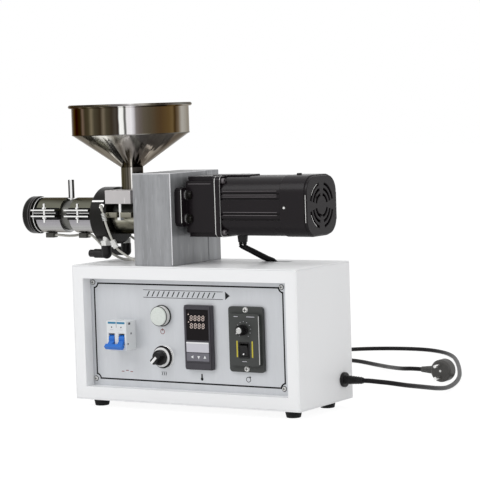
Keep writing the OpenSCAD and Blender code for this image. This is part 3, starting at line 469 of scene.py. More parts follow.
# Smoked black for the display window, also used for dark discs that paint the shade in holes and sockets.
SMOKED_AND_HOLE_SHADE = Finish("smoked_window", "black_plastic", (0.006, 0.004, 0.005), 0.12, gloss=0.12)
WHITE_MOULD = Finish("white_mould", "white_plastic", (0.76, 0.78, 0.79), 0.35)
BLUE_MOULD = Finish("blue_mould", "blue_plastic", (0.018, 0.16, 0.60), 0.32, gloss=0.3)
TEAL_INK = Finish("teal_ink", "blue_plastic", (0.02, 0.20, 0.36), 0.5)
LAMP_CAP = Lens("lamp_cap", "clear_lens", (0.70, 0.74, 0.70), 0.2)
FOOT_RUBBER = Finish("foot_rubber", "black_rubber", (0.010, 0.010, 0.011), 0.75, gloss=0.25)
SHEATH = Finish("cord_sheath", "black_sheath", (0.010, 0.009, 0.010), 0.38, gloss=0.12)
PLUG_SKIN = Finish("plug_skin", "grey_plastic", (0.075, 0.072, 0.068), 0.5, gloss=0.35)
CERAMIC = Finish("terminal_ceramic", "ceramic", (0.05, 0.048, 0.04), 0.6)
SLEEVE = Woven("woven_sleeve", "glass_sleeve", (0.62, 0.61, 0.56))
# Black print, also used for dark pieces that paint the shade in screw recesses and round the heater ears.
BLACK_INK_AND_SHADE = Finish("black_ink", "black_plastic", (0.008, 0.008, 0.009), 0.5, gloss=0.2)
RED_INK = Finish("red_ink", "black_plastic", (0.22, 0.03, 0.035), 0.55)
# White print, also used for an arc that paints a highlight by the selector.
WHITE_INK_AND_HIGHLIGHT = Finish("white_ink", "white_plastic", (0.86, 0.86, 0.86), 0.5)
YELLOW_INK = Finish("yellow_ink", "white_plastic", (0.56, 0.47, 0.03), 0.5)
DIGIT_GLOW = Lit("digit_glow", "white_plastic", (0.80, 0.66, 0.60))


def arc(radius: float, start: float, step: float, count: int) -> list[tuple[float, float]]:
    """Points on a circle about its middle, from a start angle by equal steps, in degrees."""
    turns = (math.radians(start + step * k) for k in range(count))
    return [(radius * math.cos(t), radius * math.sin(t)) for t in turns]


def disc(radius: float, sides: int) -> list[tuple[float, float]]:
    """A circle about its middle."""
    return arc(radius, 0.0, 360.0 / sides, sides)


def sector(outer: float, inner: float, start: float, step: float, count: int) -> list[tuple[float, float]]:
    """A bent band between two radii."""
    return arc(outer, start, step, count) + arc(inner, start, step, count)[::-1]


def rect(left: float, low: float, right: float, high: float) -> list[tuple[float, float]]:
    """A rectangle between two corners."""
    return [(left, low), (right, low), (right, high), (left, high)]


def rounded(width: float, height: float, radius: float, steps: int = 6) -> list[tuple[float, float]]:
    """A rectangle with round corners about its middle."""
    u, v = width / 2 - radius, height / 2 - radius
    return [(sx * u + a, sz * v + b) for quarter, (sx, sz) in enumerate(((1, 1), (-1, 1), (-1, -1), (1, -1)))
            for a, b in arc(radius, 90.0 * quarter, 90.0 / steps, steps + 1)]


def square_to(line: Vector) -> tuple[Vector, Vector]:
    """Two unit directions that are square to a line and to each other."""
    u = line.orthogonal().normalized()
    return u, line.normalized().cross(u)


class Shape:
    """A mesh drawn in millimetres in the part's frame."""

    WELD = 1e-6
    FLAT = math.radians(0.4)
    THIN = 0.01
    BEVEL_FROM = 30.0

    def __init__(self) -> None:
        """Starts with nothing drawn."""
        self.bm = bmesh.new()

    def loft(self, rings: Sequence[Sequence[Any]], loop: bool = False) -> "Shape":
        """Joins rings of equal count with faces.

        Args:
            rings: The rings, each a closed line of points.
            loop: True joins the last ring to the first; otherwise both ends are capped.

        Returns:
            This shape.
        """
        made = [[self.bm.verts.new(Vector(p) * MM) for p in ring] for ring in rings]
        for low, high in zip(made, made[1:] + (made[:1] if loop else [])):
            for k in range(len(low)):
                self.bm.faces.new((low[k - 1], low[k], high[k], high[k - 1]))
        if not loop:
            self.bm.faces.new(made[0][::-1])
            self.bm.faces.new(made[-1])
        return self

    def box(self, low: Point, high: Point) -> "Shape":
        """Adds a box between two corners."""
        (x0, y0, z0), (x1, y1, z1) = low, high
        return self.loft([[(x, y, z) for x, y in rect(x0, y0, x1, y1)] for z in (z0, z1)])

    def prism(self, outline: Outline, origin: Point, across: Point, up: Point, depth: float) -> "Shape":
        """Adds an outline drawn on two axes and pushed along their cross product."""
        a, b = Vector(across), Vector(up)
        flat = [Vector(origin) + a * u + b * v for u, v in outline]
        return self.loft([flat, [p + a.cross(b).normalized() * depth for p in flat]])

    def plate(self, outline: Outline, x: float, y: float, z: float, depth: float) -> "Shape":
        """Adds an outline on the panel side, standing out towards the front."""
        return self.prism(outline, (x, y, z), RIGHT, UP, depth)

    def lathe(self, profile: Outline, base: Point, axis: Point, sides: int) -> "Shape":
        """Turns a closed profile of radius and height about an axis."""
        n = Vector(axis).normalized()
        u, v = square_to(n)
        turn = [u * c + v * s for c, s in disc(1.0, sides)]
        rings = [[Vector(base) + n * h + out * max(r, self.THIN) for out in turn] for r, h in profile]
        return self.loft(rings, loop=True)

    def ring(self, inner: float, outer: float, height: float, base: Point, axis: Point,
             sides: int) -> "Shape":
        """Adds a flat ring about an axis."""
        return self.lathe([(inner, 0), (outer, 0), (outer, height), (inner, height)], base, axis, sides)

    def rod(self, start: Point, end: Point, radius: float, tip: float, sides: int) -> "Shape":
        """Adds a bar that tapers from a radius to a tip radius."""
        u, v = square_to(Vector(end) - Vector(start))
        ends = ((Vector(start), radius), (Vector(end), tip))
        return self.loft([[c + (u * a + v * b) * r for a, b in disc(1.0, sides)] for c, r in ends])

    def tube(self, points: Sequence[Vector], radius: float, sides: int) -> "Shape":
        """Sweeps a round section along points, without twisting it."""
        rings = []
        u = (points[1] - points[0]).orthogonal().normalized()
        for i, p in enumerate(points):
            ahead = (points[min(i + 1, len(points) - 1)] - points[max(i - 1, 0)]).normalized()
            u = (u - ahead * u.dot(ahead)).normalized()
            v = ahead.cross(u)
            rings.append([p + u * a + v * b for a, b in disc(radius, sides)])
        return self.loft(rings)

    def solid(self, node: str) -> "Shape":
        """Adds a copy of a CAD node with its loose triangles joined up."""
        self.bm.from_mesh(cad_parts[node].data)
        bmesh.ops.remove_doubles(self.bm, verts=self.bm.verts, dist=2 * self.WELD)
        bmesh.ops.dissolve_limit(self.bm, angle_limit=self.FLAT, verts=self.bm.verts, edges=self.bm.edges)
        return self

    def piece(self, name: str, finish: Finish, body: str = MACHINE, bevel: float = 0.0,
              sharp: float = SHARP, stands_for: tuple[str, ...] = ()) -> bpy.types.Object:
        """Makes the drawn mesh a piece of the object.

        Args:
            name: The piece's name.
            finish: Its finish.
            body: The CAD body that it rides on.
            bevel: Width of the rounding on its edges, in millimetres.
            sharp: Angle in degrees above which an edge is sharp.
            stands_for: CAD nodes that it replaces.

        Returns:
            The finished object.
        """
        if not stands_for:
            bmesh.ops.remove_doubles(self.bm, verts=self.bm.verts, dist=self.WELD)
            bmesh.ops.recalc_face_normals(self.bm, faces=self.bm.faces)
        mesh = bpy.data.meshes.new(name)
        self.bm.to_mesh(mesh)
        self.bm.free()
        stale = mesh.attributes.get("custom_normal")
        if stale:
            mesh.attributes.remove(stale)
        made = settle(name, mesh, finish, body, sharp)
        if bevel:
            round_over = made.modifiers.new("round_over", "BEVEL")
            round_over.width = bevel * MM
            round_over.segments = 2
            round_over.limit_method = "ANGLE"
            round_over.angle_limit = math.radians(max(sharp, self.BEVEL_FROM))
            round_over.harden_normals = True
        for node in stands_for:
            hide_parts(node)
        return made


def settle(name: str, mesh: bpy.types.Mesh, finish: Finish, body: str, sharp: float) -> bpy.types.Object:
    """Links a smooth mesh with sharp edges as a piece, with its material and body."""
    mesh.polygons.foreach_set("use_smooth", [True] * len(mesh.polygons))
    mesh.set_sharp_from_angle(angle=math.radians(sharp))
    made = bpy.data.objects.new(name, mesh)
    bpy.context.scene.collection.objects.link(made)
    paint(mesh, finish)
    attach(made, body)
    LOG.info("%s: %d faces, %s", name, len(mesh.polygons), finish.name)
    return made


def paint(mesh: bpy.types.Mesh, finish: Finish) -> None:
    """Makes a finish the one material of a mesh."""
    mesh.materials.clear()
    mesh.materials.append(finish.material())


def refine(finish: Finish, bevel: float, *nodes: str, body: str = MACHINE,
           sharp: float = SHARP) -> list[bpy.types.Object]:
    """Puts rounded, finished copies in the place of CAD nodes."""
    return [Shape().solid(node).piece(node + "_skin", finish, body, bevel, sharp, (node,)) for node in nodes]


def coat(finish: Finish, *nodes: str) -> None:
    """Gives CAD nodes a finish and leaves their shapes alone."""
    for node in nodes:
        paint(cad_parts[node].data, finish)


class Recipe(Graph):
    """A Geometry Nodes tree with named sizes that ends in one plain mesh."""

    SHARP = 40.0

    def __init__(self, name: str) -> None:
        """Starts a tree that takes geometry in and gives geometry out."""
        super().__init__(bpy.data.node_groups.new(name, "GeometryNodeTree"))
        self.name = name
        self.values: dict[str, Any] = {}
        for way in ("INPUT", "OUTPUT"):
            self.tree.interface.new_socket("Geometry", in_out=way, socket_type="NodeSocketGeometry")
        self.inlet = self.tree.nodes.new("NodeGroupInput")

    def sizes(self, **values: float | int) -> list[Sock]:
        """Adds inputs named with _ for a blank and keeps their values for the modifier."""
        made = []
        for name, value in values.items():
            kind = "NodeSocketInt" if isinstance(value, int) else "NodeSocketFloat"
            item = self.tree.interface.new_socket(name.replace("_", " "), in_out="INPUT", socket_type=kind)
            self.values[item.identifier] = value
            made.append(Sock(self, self.inlet.outputs[item.name]))
        return made

    def on_points(self, shape: Sock) -> Sock:
        """Sets a shape on each point, with its Z along the point's aim."""
        aim = self.node("GeometryNodeInputNamedAttribute", {"data_type": "FLOAT_VECTOR"}, {"Name": "aim"})
        turn = self.node("FunctionNodeAlignRotationToVector", {"axis": "Z"}, {"Vector": aim})
        points = Sock(self, self.inlet.outputs["Geometry"])
        return self.node("GeometryNodeInstanceOnPoints", {},
                         {"Points": points, "Instance": shape, "Rotation": turn})

    def stood(self, shape: Sock, place: Point, turn: Point) -> Sock:
        """Moves a shape to a place in millimetres and turns it by angles in radians."""
        return self.node("GeometryNodeTransform", {}, {
            "Geometry": shape, "Translation": tuple(c * MM for c in place), "Rotation": turn})

    def grow(self, shape: Sock, finish: Finish, points: Seats = (((0, 0, 0), UP),),
             body: str = MACHINE) -> bpy.types.Object:
        """Ends the tree, runs it on points and keeps the result as a plain piece.

        Args:
            shape: The last geometry of the tree.
            finish: The finish of the piece.
            points: Places in millimetres, each with the direction that it faces.
            body: The CAD body that the piece rides on.

        Returns:
            The finished object.
        """
        real = self.node("GeometryNodeRealizeInstances", {}, {"Geometry": shape})
        last = self.node("GeometryNodeSetMaterial", {}, {"Geometry": real, "Material": finish.material()})
        self.node("NodeGroupOutput", {}, {0: last})
        seed = bpy.data.meshes.new(self.name + "_points")
        seed.from_pydata([Vector(p) * MM for p, _ in points], [], [])
        aims = seed.attributes.new("aim", "FLOAT_VECTOR", "POINT")
        aims.data.foreach_set("vector", [c for _, aim in points for c in aim])
        host = bpy.data.objects.new(self.name + "_host", seed)
        bpy.context.scene.collection.objects.link(host)
        modifier = host.modifiers.new("recipe", "NODES")
        modifier.node_group = self.tree
        for key, value in self.values.items():
            modifier[key] = value
        ready = host.evaluated_get(bpy.context.evaluated_depsgraph_get())
        mesh = bpy.data.meshes.new_from_object(ready)
        mesh.name = self.name
        bpy.data.objects.remove(host)
        return settle(self.name, mesh, finish, body, self.SHARP)


def studs(name: str, finish: Finish, points: Seats, radius: float, height: float, top: float,
          sides: int = 24, body: str = MACHINE) -> bpy.types.Object:
    """Sets round or many-sided heads on points.

    Args:
        name: The piece's name.
        finish: Its finish.
        points: Places and the directions that they face.
        radius: Radius at the seat, in millimetres.
        height: Height of a head.
        top: Radius at the top.
        sides: Sides of a head; 6 makes a hexagon.
        body: The CAD body.

    Returns:
        The finished object.
    """
    recipe = Recipe(name)
    wide, narrow, tall, count = recipe.sizes(
        Seat_Radius=radius * MM, Top_Radius=top * MM, Height=height * MM, Sides=sides)
    head = recipe.node("GeometryNodeMeshCone", {"fill_type": "NGON"}, {
        "Vertices": count, "Radius Bottom": wide, "Radius Top": narrow, "Depth": tall})
    return recipe.grow(recipe.on_points(head), finish, points, body)


def crosses(name: str, points: Seats, span: float, width: float, height: float = 0.16) -> None:
    """Sets a dark cross on points, standing a hair above the head, that paints the shade in a driver recess.
    """
    recipe = Recipe(name)
    long, thin, tall = recipe.sizes(Span=span * MM, Width=width * MM, Height=height * MM)
    bars = []
    for first, second in ((long, thin), (thin, long)):
        extent = recipe.node("ShaderNodeCombineXYZ", {}, {"X": first, "Y": second, "Z": tall})
        bars.append(recipe.node("GeometryNodeMeshCube", {}, {"Size": extent}))
    both = recipe.node("GeometryNodeJoinGeometry", {}, {0: bars})
    recipe.grow(recipe.on_points(both), BLACK_INK_AND_SHADE, points)


def raised(points: Seats, height: float) -> Seats:
    """The same seats, moved along their aims."""
    return [(tuple(p + a * height for p, a in zip(place, aim)), aim) for place, aim in points]


def pan_screws(name: str, places: Sequence[Point], aim: Point, radius: float, height: float,
               finish: Finish) -> None:
    """Puts pan-head screws on places that face one way, with the shade of a cross recess painted on each."""
    top, span, width = 0.72 * radius, 1.1 * radius, 0.26 * radius
    seats = [(place, aim) for place in places]
    studs(name, finish, seats, radius, height, top)
    crosses(name + "_recess", raised(seats, height), span, width)


@dataclass
class Cabinet:
    """The white sheet-steel case with its feet and screws."""

    back: float = 77.5
    columns: tuple[float, ...] = (-119.0, 65.5, 250.0)
    rows: tuple[float, ...] = (24.0, 205.0)

    def build(self) -> None:
        """Finishes the sheets and feet and puts in the case screws."""
        refine(WHITE_PAINT, 0.7, "base_plate", "deck_plate", "left_side", "right_side", "back_panel",
               "front_frame")
        refine(FOOT_RUBBER, 0.8, "feet")
        places = [(x, self.back, z) for x in self.columns for z in self.rows]
        pan_screws("back_screws", places, BACK, 2.6, 1.4, STEEL_HEAD_AND_HIGHLIGHT)


@dataclass
class ControlPanel:
    """The brushed panel with its border line, screws and plain signs."""

    y: float = PANEL_Y
    left: float = -107.5
    right: float = 229.5
    low: float = 41.5
    high: float = 189.5
    notch: float = 7.0
    line: float = 2.3
    sign_low: float = 168.5
    sign_high: float = 180.5
    sign_flights: int = 14

    def build(self) -> None:
        """Finishes the sheet and adds the border, the screws and the signs."""
        refine(PANEL_SHEET, 0.3, "control_panel")
        self._border()
        corners = [(x, self.y, z) for x in (self.left - 1.0, self.right - 3.0)
                   for z in (self.low + 0.5, self.high)]
        studs("panel_washers", BLACK_MOULD, [(place, FRONT) for place in corners], 4.2, 0.5, 4.0)
        pan_screws("panel_screws", corners, FRONT, 3.6, 1.9, PALE_PLATE_AND_HIGHLIGHTS)
        self._signs()
        self._screw_sign()

    def _edge(self, inset: float) -> list[tuple[float, float]]:
        """The border's line with hollow corners, moved inwards by an inset."""
        corners = ((self.right, self.high, 270), (self.left, self.high, 360),
                   (self.left, self.low, 90), (self.right, self.low, 180))
        return [(min(max(x + u, self.left + inset), self.right - inset),
                 min(max(z + v, self.low + inset), self.high - inset))
                for x, z, start in corners for u, v in arc(self.notch + inset, start, -11.25, 9)]

    def _border(self) -> None:
        """Makes the printed line as a thin raised band."""
        outer, inner, top = self._edge(0.0), self._edge(self.line), self.y - 0.15
        layers = ((outer, self.y), (outer, top), (inner, top), (inner, self.y))
        band = Shape().loft([[(x, y, z) for x, z in ring] for ring, y in layers], loop=True)
        band.piece("panel_border", BLACK_INK_AND_SHADE)

    def _signs(self) -> None:
        """Makes plain signs under the devices: a switch, power, heat, a thermometer and turning."""
        y = self.y
        red, black = Shape(), Shape()
        wave = [(-0.5, -3), (0.5, -3), (1.3, 0), (0.5, 3), (-0.5, 3), (0.3, 0)]
        for k in range(3):
            red.plate(rounded(5.0, 1.1, 0.4, 2), -58.0 + 8.0 * k, y, 55.0 + 1.6 * (k == 1), INK)
            black.plate(wave, 13.5 + 3.5 * k, y, 55.0, INK)
        red.ring(3.0, 3.9, INK, (17.0, y, 118.0), FRONT, 32)
        red.plate(rect(-0.5, 0.8, 0.5, 4.8), 17.0, y, 118.0, INK)
        black.plate(rounded(2.4, 8.0, 1.1, 3), 85.0, y, 53.5, INK)
        black.plate(disc(2.3, 20), 85.0, y, 49.5, INK)
        black.ring(3.2, 4.1, INK, (166.0, y, 52.5), FRONT, 32)
        black.plate([(0, 1.9), (2.6, 0), (0, -1.9)], 168.0, y, 56.0, INK)
        red.piece("signs_red", RED_INK)
        black.piece("signs_black", BLACK_INK_AND_SHADE)

    def _screw_sign(self) -> None:
        """Makes the sign of a screw in its barrel where the panel has its heading."""
        sign = Shape()
        for z in (self.sign_low, self.sign_high - 0.8):
            sign.plate(rect(-16, 0, 126, 0.8), 0.0, self.y, z, INK)
        flight = [(0, 0), (1.8, 0), (6.4, 8.2), (4.6, 8.2)]
        for k in range(self.sign_flights):
            sign.plate(flight, -10.0 + 9.0 * k, self.y, self.sign_low + 1.9, INK)
        sign.plate([(0, 0), (8, 6), (0, 12)], 130.0, self.y, self.sign_low, INK)
        sign.piece("screw_sign", BLACK_INK_AND_SHADE)


@dataclass
class Breaker:
    """The twin-pole breaker."""

    x: float = -50.0
    front: float = -82.5
    z: float = 112.0
    half: float = 18.0

    def build(self) -> None:
        """Finishes the body and toggle and adds seams, windows, stripes and rivets."""
        refine(WHITE_MOULD, 0.7, "breaker_body")
        refine(BLUE_MOULD, 0.6, "breaker_toggle", body="breaker_toggle_body")
        x, y, z = self.x, self.front, self.z
        marks, stripe, legend = Shape(), Shape(), Shape()
        marks.plate(rect(-0.2, 0, 0.2, 10), x, y, z + 12.2, 0.1)
        marks.box((x - 0.2, y, z + 22.4), (x + 0.2, y + 20, z + 22.6))
        for side in (-1, 1):
            marks.plate(disc(1.1, 16), x + side * 8.6, y, z + 13.0, INK)
            stripe.plate(rounded(14.5, 3.0, 0.5, 2), x + side * 8.2, y, z + 19.6, INK)
            legend.plate(rounded(6.0, 0.8, 0.3, 2), x + side * 8.6, y, z + 9.2, 0.1)
        marks.box((x + self.half - 0.1, y + 6.0, z + 16.5), (x + self.half + 0.12, y + 11.0, z + 20.0))
        marks.piece("breaker_marks", GREY_MOULD)
        stripe.piece("breaker_stripe", TEAL_INK)
        legend.piece("breaker_legend", BAND_GREY)
        rivets = [((x + aim[0] * self.half, y + deep, z + rise), aim)
                  for aim, deep, rise in ((RIGHT, 12.5, 3.0), (RIGHT, 4.0, -12.0), (LEFT, 12.5, 3.0))]
        studs("breaker_rivets", KEY_GREY, rivets, 1.7, 0.5, 1.2, 16)


@dataclass
class Lamp:
    """The pilot lamp."""

    x: float = 17.0
    y: float = PANEL_Y
    z: float = 142.0
    reach: float = 8.95

    def build(self) -> None:
        """Finishes the bezel and lens and adds the seal, the dark gap and the cover."""
        refine(PALE_PLATE_AND_HIGHLIGHTS, 0.4, "lamp_bezel")
        refine(LAMP_CAP, 0.8, "lamp_lens")
        seal = [(14.8, 0), (16.2, 0), (16.2, 1.2), (15.2, 1.6), (14.8, 1.6)]
        gap = [(13.9, 0), (15.0, 0), (15.0, 0.4), (13.9, 0.4)]
        cover = [(0, 0), (14.0, 0), (14.1, 1.2), (13.4, 2.5), (11.0, 3.1), (0, 3.25)]
        for name, finish, profile, reach in (
                ("lamp_seal", BLACK_MOULD, seal, 0.0), ("lamp_gap", BLACK_MOULD, gap, self.reach),
                ("lamp_cover", LAMP_CAP, cover, self.reach)):
            Shape().lathe(profile, (self.x, self.y - reach, self.z), FRONT, 64).piece(name, finish)


@dataclass
class Selector:
    """The two-way selector."""

    x: float = 17.0
    y: float = PANEL_Y
    z: float = 80.0
    tilt: float = 225.0
    knob_face: float = 22.6

    def build(self) -> None:
        """Finishes the bezel and knob and adds the seal, ring, pointer and a white arc that paints a
        highlight by the bezel.
        """
        refine(BRIGHT_PLATE_AND_HIGHLIGHTS, 0.5, "selector_bezel")
        refine(BLACK_MOULD, 0.7, "selector_knob", body="selector_knob_body")
        seal = [(14.4, 2.0), (17.2, 2.0), (17.0, 2.8), (14.4, 3.2)]
        ring = [(10.4, 6.0), (14.4, 4.9), (14.7, 6.1), (10.4, 7.0)]
        for name, finish, profile in (
                ("selector_seal", BLACK_MOULD, seal), ("selector_ring", WHITE_INK_AND_HIGHLIGHT, ring)):
            Shape().lathe(profile, (self.x, self.y, self.z), FRONT, 64).piece(name, finish)
        pointer("selector_pointer", rect(-2.5, -1.9, 10.3, 1.9), (self.x, self.y - self.knob_face, self.z),
                self.tilt, 0.2, "selector_knob_body")
        # A white arc that paints a highlight by the bezel.
        band = sector(19.0, 18.0, -50, 10, 13)
        Shape().plate(band, self.x, self.y, self.z, 0.1).piece("selector_arc_highlight", WHITE_INK_AND_HIGHLIGHT)


def pointer(name: str, outline: Outline, place: Point, tilt: float, depth: float, body: str) -> None:
    """Puts a white mark on a knob's face, turned by a tilt in degrees."""
    c, s = math.cos(math.radians(tilt)), math.sin(math.radians(tilt))
    Shape().prism(outline, place, (c, 0.0, s), (-s, 0.0, c), depth).piece(name, WHITE_INK_AND_HIGHLIGHT, body)


@dataclass
class TempController:
    """The temperature controller with its display and keys."""

    x: float = 85.0
    y: float = -66.5
    rows: tuple[float, ...] = (141.0, 129.5)
    figures: int = 4
    pitch: float = 6.9
    keys_z: float = 83.4

    def build(self) -> None:
        """Finishes the case and adds the window, figures, band and keys."""
        refine(GREY_MOULD, 0.5, "temp_controller")
        self._plates(("temp_window", SMOKED_AND_HOLE_SHADE, (38.6, 45.4, 0.6, 2), (0, 0.98, 130.9), 0.5, 0.2))
        figures = Shape()
        for z in self.rows:
            for k in range(self.figures):
                self._figure(figures, self.x - 10.4 + self.pitch * k, z)
        figures.piece("temp_figures", DIGIT_GLOW)
        self._plates(("temp_band", BAND_GREY, (39.5, 15.2, 1.0), (0, 0, 98.0), 0.7, 0.3),
                     ("temp_band_line", WHITE_INK_AND_HIGHLIGHT, (39.5, 1.8, 0.5, 2), (0, -0.68, 104.4), 0.2, 0.0),
                     ("temp_edge_line", KEY_GREY, (0.9, 90.0, 0.3, 2), (-22.6, 0, 112.0), INK, 0.0),
                     ("temp_keys", KEY_GREY, (39.5, 12.0, 1.0), (0, 0, self.keys_z), 0.6, 0.3),
                     ("temp_seam", BLACK_INK_AND_SHADE, (42.5, 0.4, 0.1, 1), (0, 0, 74.8), 0.1, 0.0))
        arrows = Shape()
        for offset, turn in ((-9.6, 180), (1.4, 270), (12.3, 90)):
            corner = math.degrees(2.2)
            arrows.plate(arc(2.8, turn - corner, corner, 3), self.x + offset, self.y - 0.58, self.keys_z, INK)
        arrows.piece("temp_arrows", WHITE_INK_AND_HIGHLIGHT)
        lights = [((self.x - 15.2, self.y + 0.5, z + 5.5), FRONT) for z in self.rows]
        studs("temp_lights", DIGIT_GLOW, lights, 0.8, 0.15, 0.8, 12)

    def _plates(self, *rows: tuple[str, Finish, tuple[float, ...], Point, float, float]) -> None:
        """Makes flat pieces from rows of name, finish, rounded outline, place, depth and bevel."""
        for name, finish, size, (dx, dy, z), depth, bevel in rows:
            Shape().plate(rounded(*size), self.x + dx, self.y + dy, z, depth).piece(name, finish, bevel=bevel)

    def _figure(self, shape: Shape, x: float, z: float) -> None:
        """Draws one figure of seven slanted bars, all lit."""
        w, h, b, slant = 1.8, 3.5, 0.42, 0.08
        level = [(-w + b, 0), (-w + 2 * b, b), (w - 2 * b, b), (w - b, 0), (w - 2 * b, -b), (-w + 2 * b, -b)]
        upright = [(0, 0.3), (b, 0.3 + b), (b, h - 2 * b), (0, h - b), (-b, h - 2 * b), (-b, 0.3 + b)]
        bars = [(0, dz, level) for dz in (h, -h, 0)] + [(dx, dz, upright) for dx in (w, -w) for dz in (0, -h)]
        for dx, dz, bar in bars:
            shape.plate([(u + dx + slant * (v + dz), v + dz) for u, v in bar], x, self.y + 0.5, z, 0.1)


@dataclass
class SpeedController:
    """The motor's speed controller."""

    x: float = 167.0
    face: float = -68.5
    plate: float = -62.5
    knob_z: float = 127.0
    knob_reach: float = 13.6
    rocker_z: float = 97.0
    grips: int = 18
    knob_body: str = "speed_knob_body"
    rocker_body: str = "speed_rocker_body"

    def build(self) -> None:
        """Finishes the plate, knob and rocker and adds the screws, a strip that paints the highlight on the
        plate's edge, stripes and rules.
        """
        refine(SLATE_MOULD, 0.6, "speed_plate")
        refine(BLACK_MOULD, 0.5, "speed_knob", body=self.knob_body)
        refine(BLACK_MOULD, 0.4, "speed_rocker", body=self.rocker_body)
        x, y = self.x, self.face
        pan_screws("speed_screws", [(x, self.plate, z) for z in (155.0, 69.0)], FRONT, 4.4, 2.0, PALE_PLATE_AND_HIGHLIGHTS)
        # A pale strip that paints the highlight along the plate's right edge.
        edge = Shape().box((x + 25.1, y - 0.15, 76.5), (x + 25.7, y + 1.2, 147.5))
        edge.piece("speed_edge_highlight", PALE_PLATE_AND_HIGHLIGHTS, bevel=0.2)
        self._knob()
        self._dial()
        stripes, rules = Shape(), Shape()
        for dx in (-12.0, 14.0):
            stripes.plate(rounded(2.2, 24.0, 0.3, 1), x + dx, y, 98.5, INK)
        stripes.piece("speed_stripes", YELLOW_INK)
        self._rocker()
        for wide, tall, dx, z in ((14.0, 0.9, 12.0, 146.0), (7.0, 0.9, -13.0, 146.0), (8.0, 0.8, 0.0, 80.5)):
            rules.plate(rounded(wide, tall, 0.3, 1), x + dx, y, z, 0.1)
        rules.piece("speed_rules", BAND_GREY)

    def _knob(self) -> None:
        """Adds the knob's cap, pointer and grips."""
        x, y, z = self.x, self.face - self.knob_reach, self.knob_z
        cap = [(0, 0), (4.6, 0), (4.6, 0.5), (4.0, 0.9), (0, 0.9)]
        Shape().lathe(cap, (x, y, z), FRONT, 40).piece("speed_cap", STEEL_HEAD_AND_HIGHLIGHT, self.knob_body)
        pointer("speed_pointer", rect(4.4, -0.5, 6.6, 0.5), (x, y - 0.05, z), 225.0, INK, self.knob_body)
        grips = [((x + u, self.face - 4.0, z + v), FRONT) for u, v in disc(7.0, self.grips)]
        studs("speed_grips", BLACK_MOULD, grips, 0.75, 8.6, 0.5, 8, self.knob_body)

    def _rocker(self) -> None:
        """Adds the rocker's frame and its two marks."""
        x, y, z = self.x, self.face, self.rocker_z
        outer, inner = rounded(18.5, 23.5, 1.5, 3), rounded(15.0, 20.0, 0.8, 3)
        layers = ((outer, y), (outer, y - 0.9), (inner, y - 0.9), (inner, y))
        Shape().loft([[(x + u, level, z + v) for u, v in ring] for ring, level in layers], loop=True).piece(
            "rocker_frame", BLACK_MOULD, bevel=0.2)
        marks = Shape().plate(disc(1.2, 16), x, y - 2.05, z - 5.4, 0.5)
        marks.plate(rounded(0.9, 3.0, 0.3, 2), x, y - 1.3, z + 5.0, 0.4)
        marks.piece("rocker_marks", WHITE_INK_AND_HIGHLIGHT, self.rocker_body)

    def _dial(self) -> None:
        """Sets the dial's marks round the knob along an arc."""
        recipe = Recipe("speed_dial")
        reach, count, dot = recipe.sizes(Dial_Radius=12.0 * MM, Marks=11, Mark_Radius=0.55 * MM)
        line = recipe.node("GeometryNodeCurveArc", {"mode": "RADIUS"}, {
            "Radius": reach, "Start Angle": math.radians(-50), "Sweep Angle": math.radians(280)})
        places = recipe.node("GeometryNodeCurveToPoints", {"mode": "COUNT"}, {"Curve": line, "Count": count})
        mark = recipe.node("GeometryNodeMeshCone", {"fill_type": "NGON"}, {
            "Vertices": 10, "Radius Bottom": dot, "Radius Top": dot, "Depth": INK * MM})
        ring = recipe.node("GeometryNodeInstanceOnPoints", {}, {"Points": places, "Instance": mark})
        recipe.grow(recipe.stood(ring, (self.x, self.face, self.knob_z), (math.radians(90), 0, 0)), BAND_GREY)


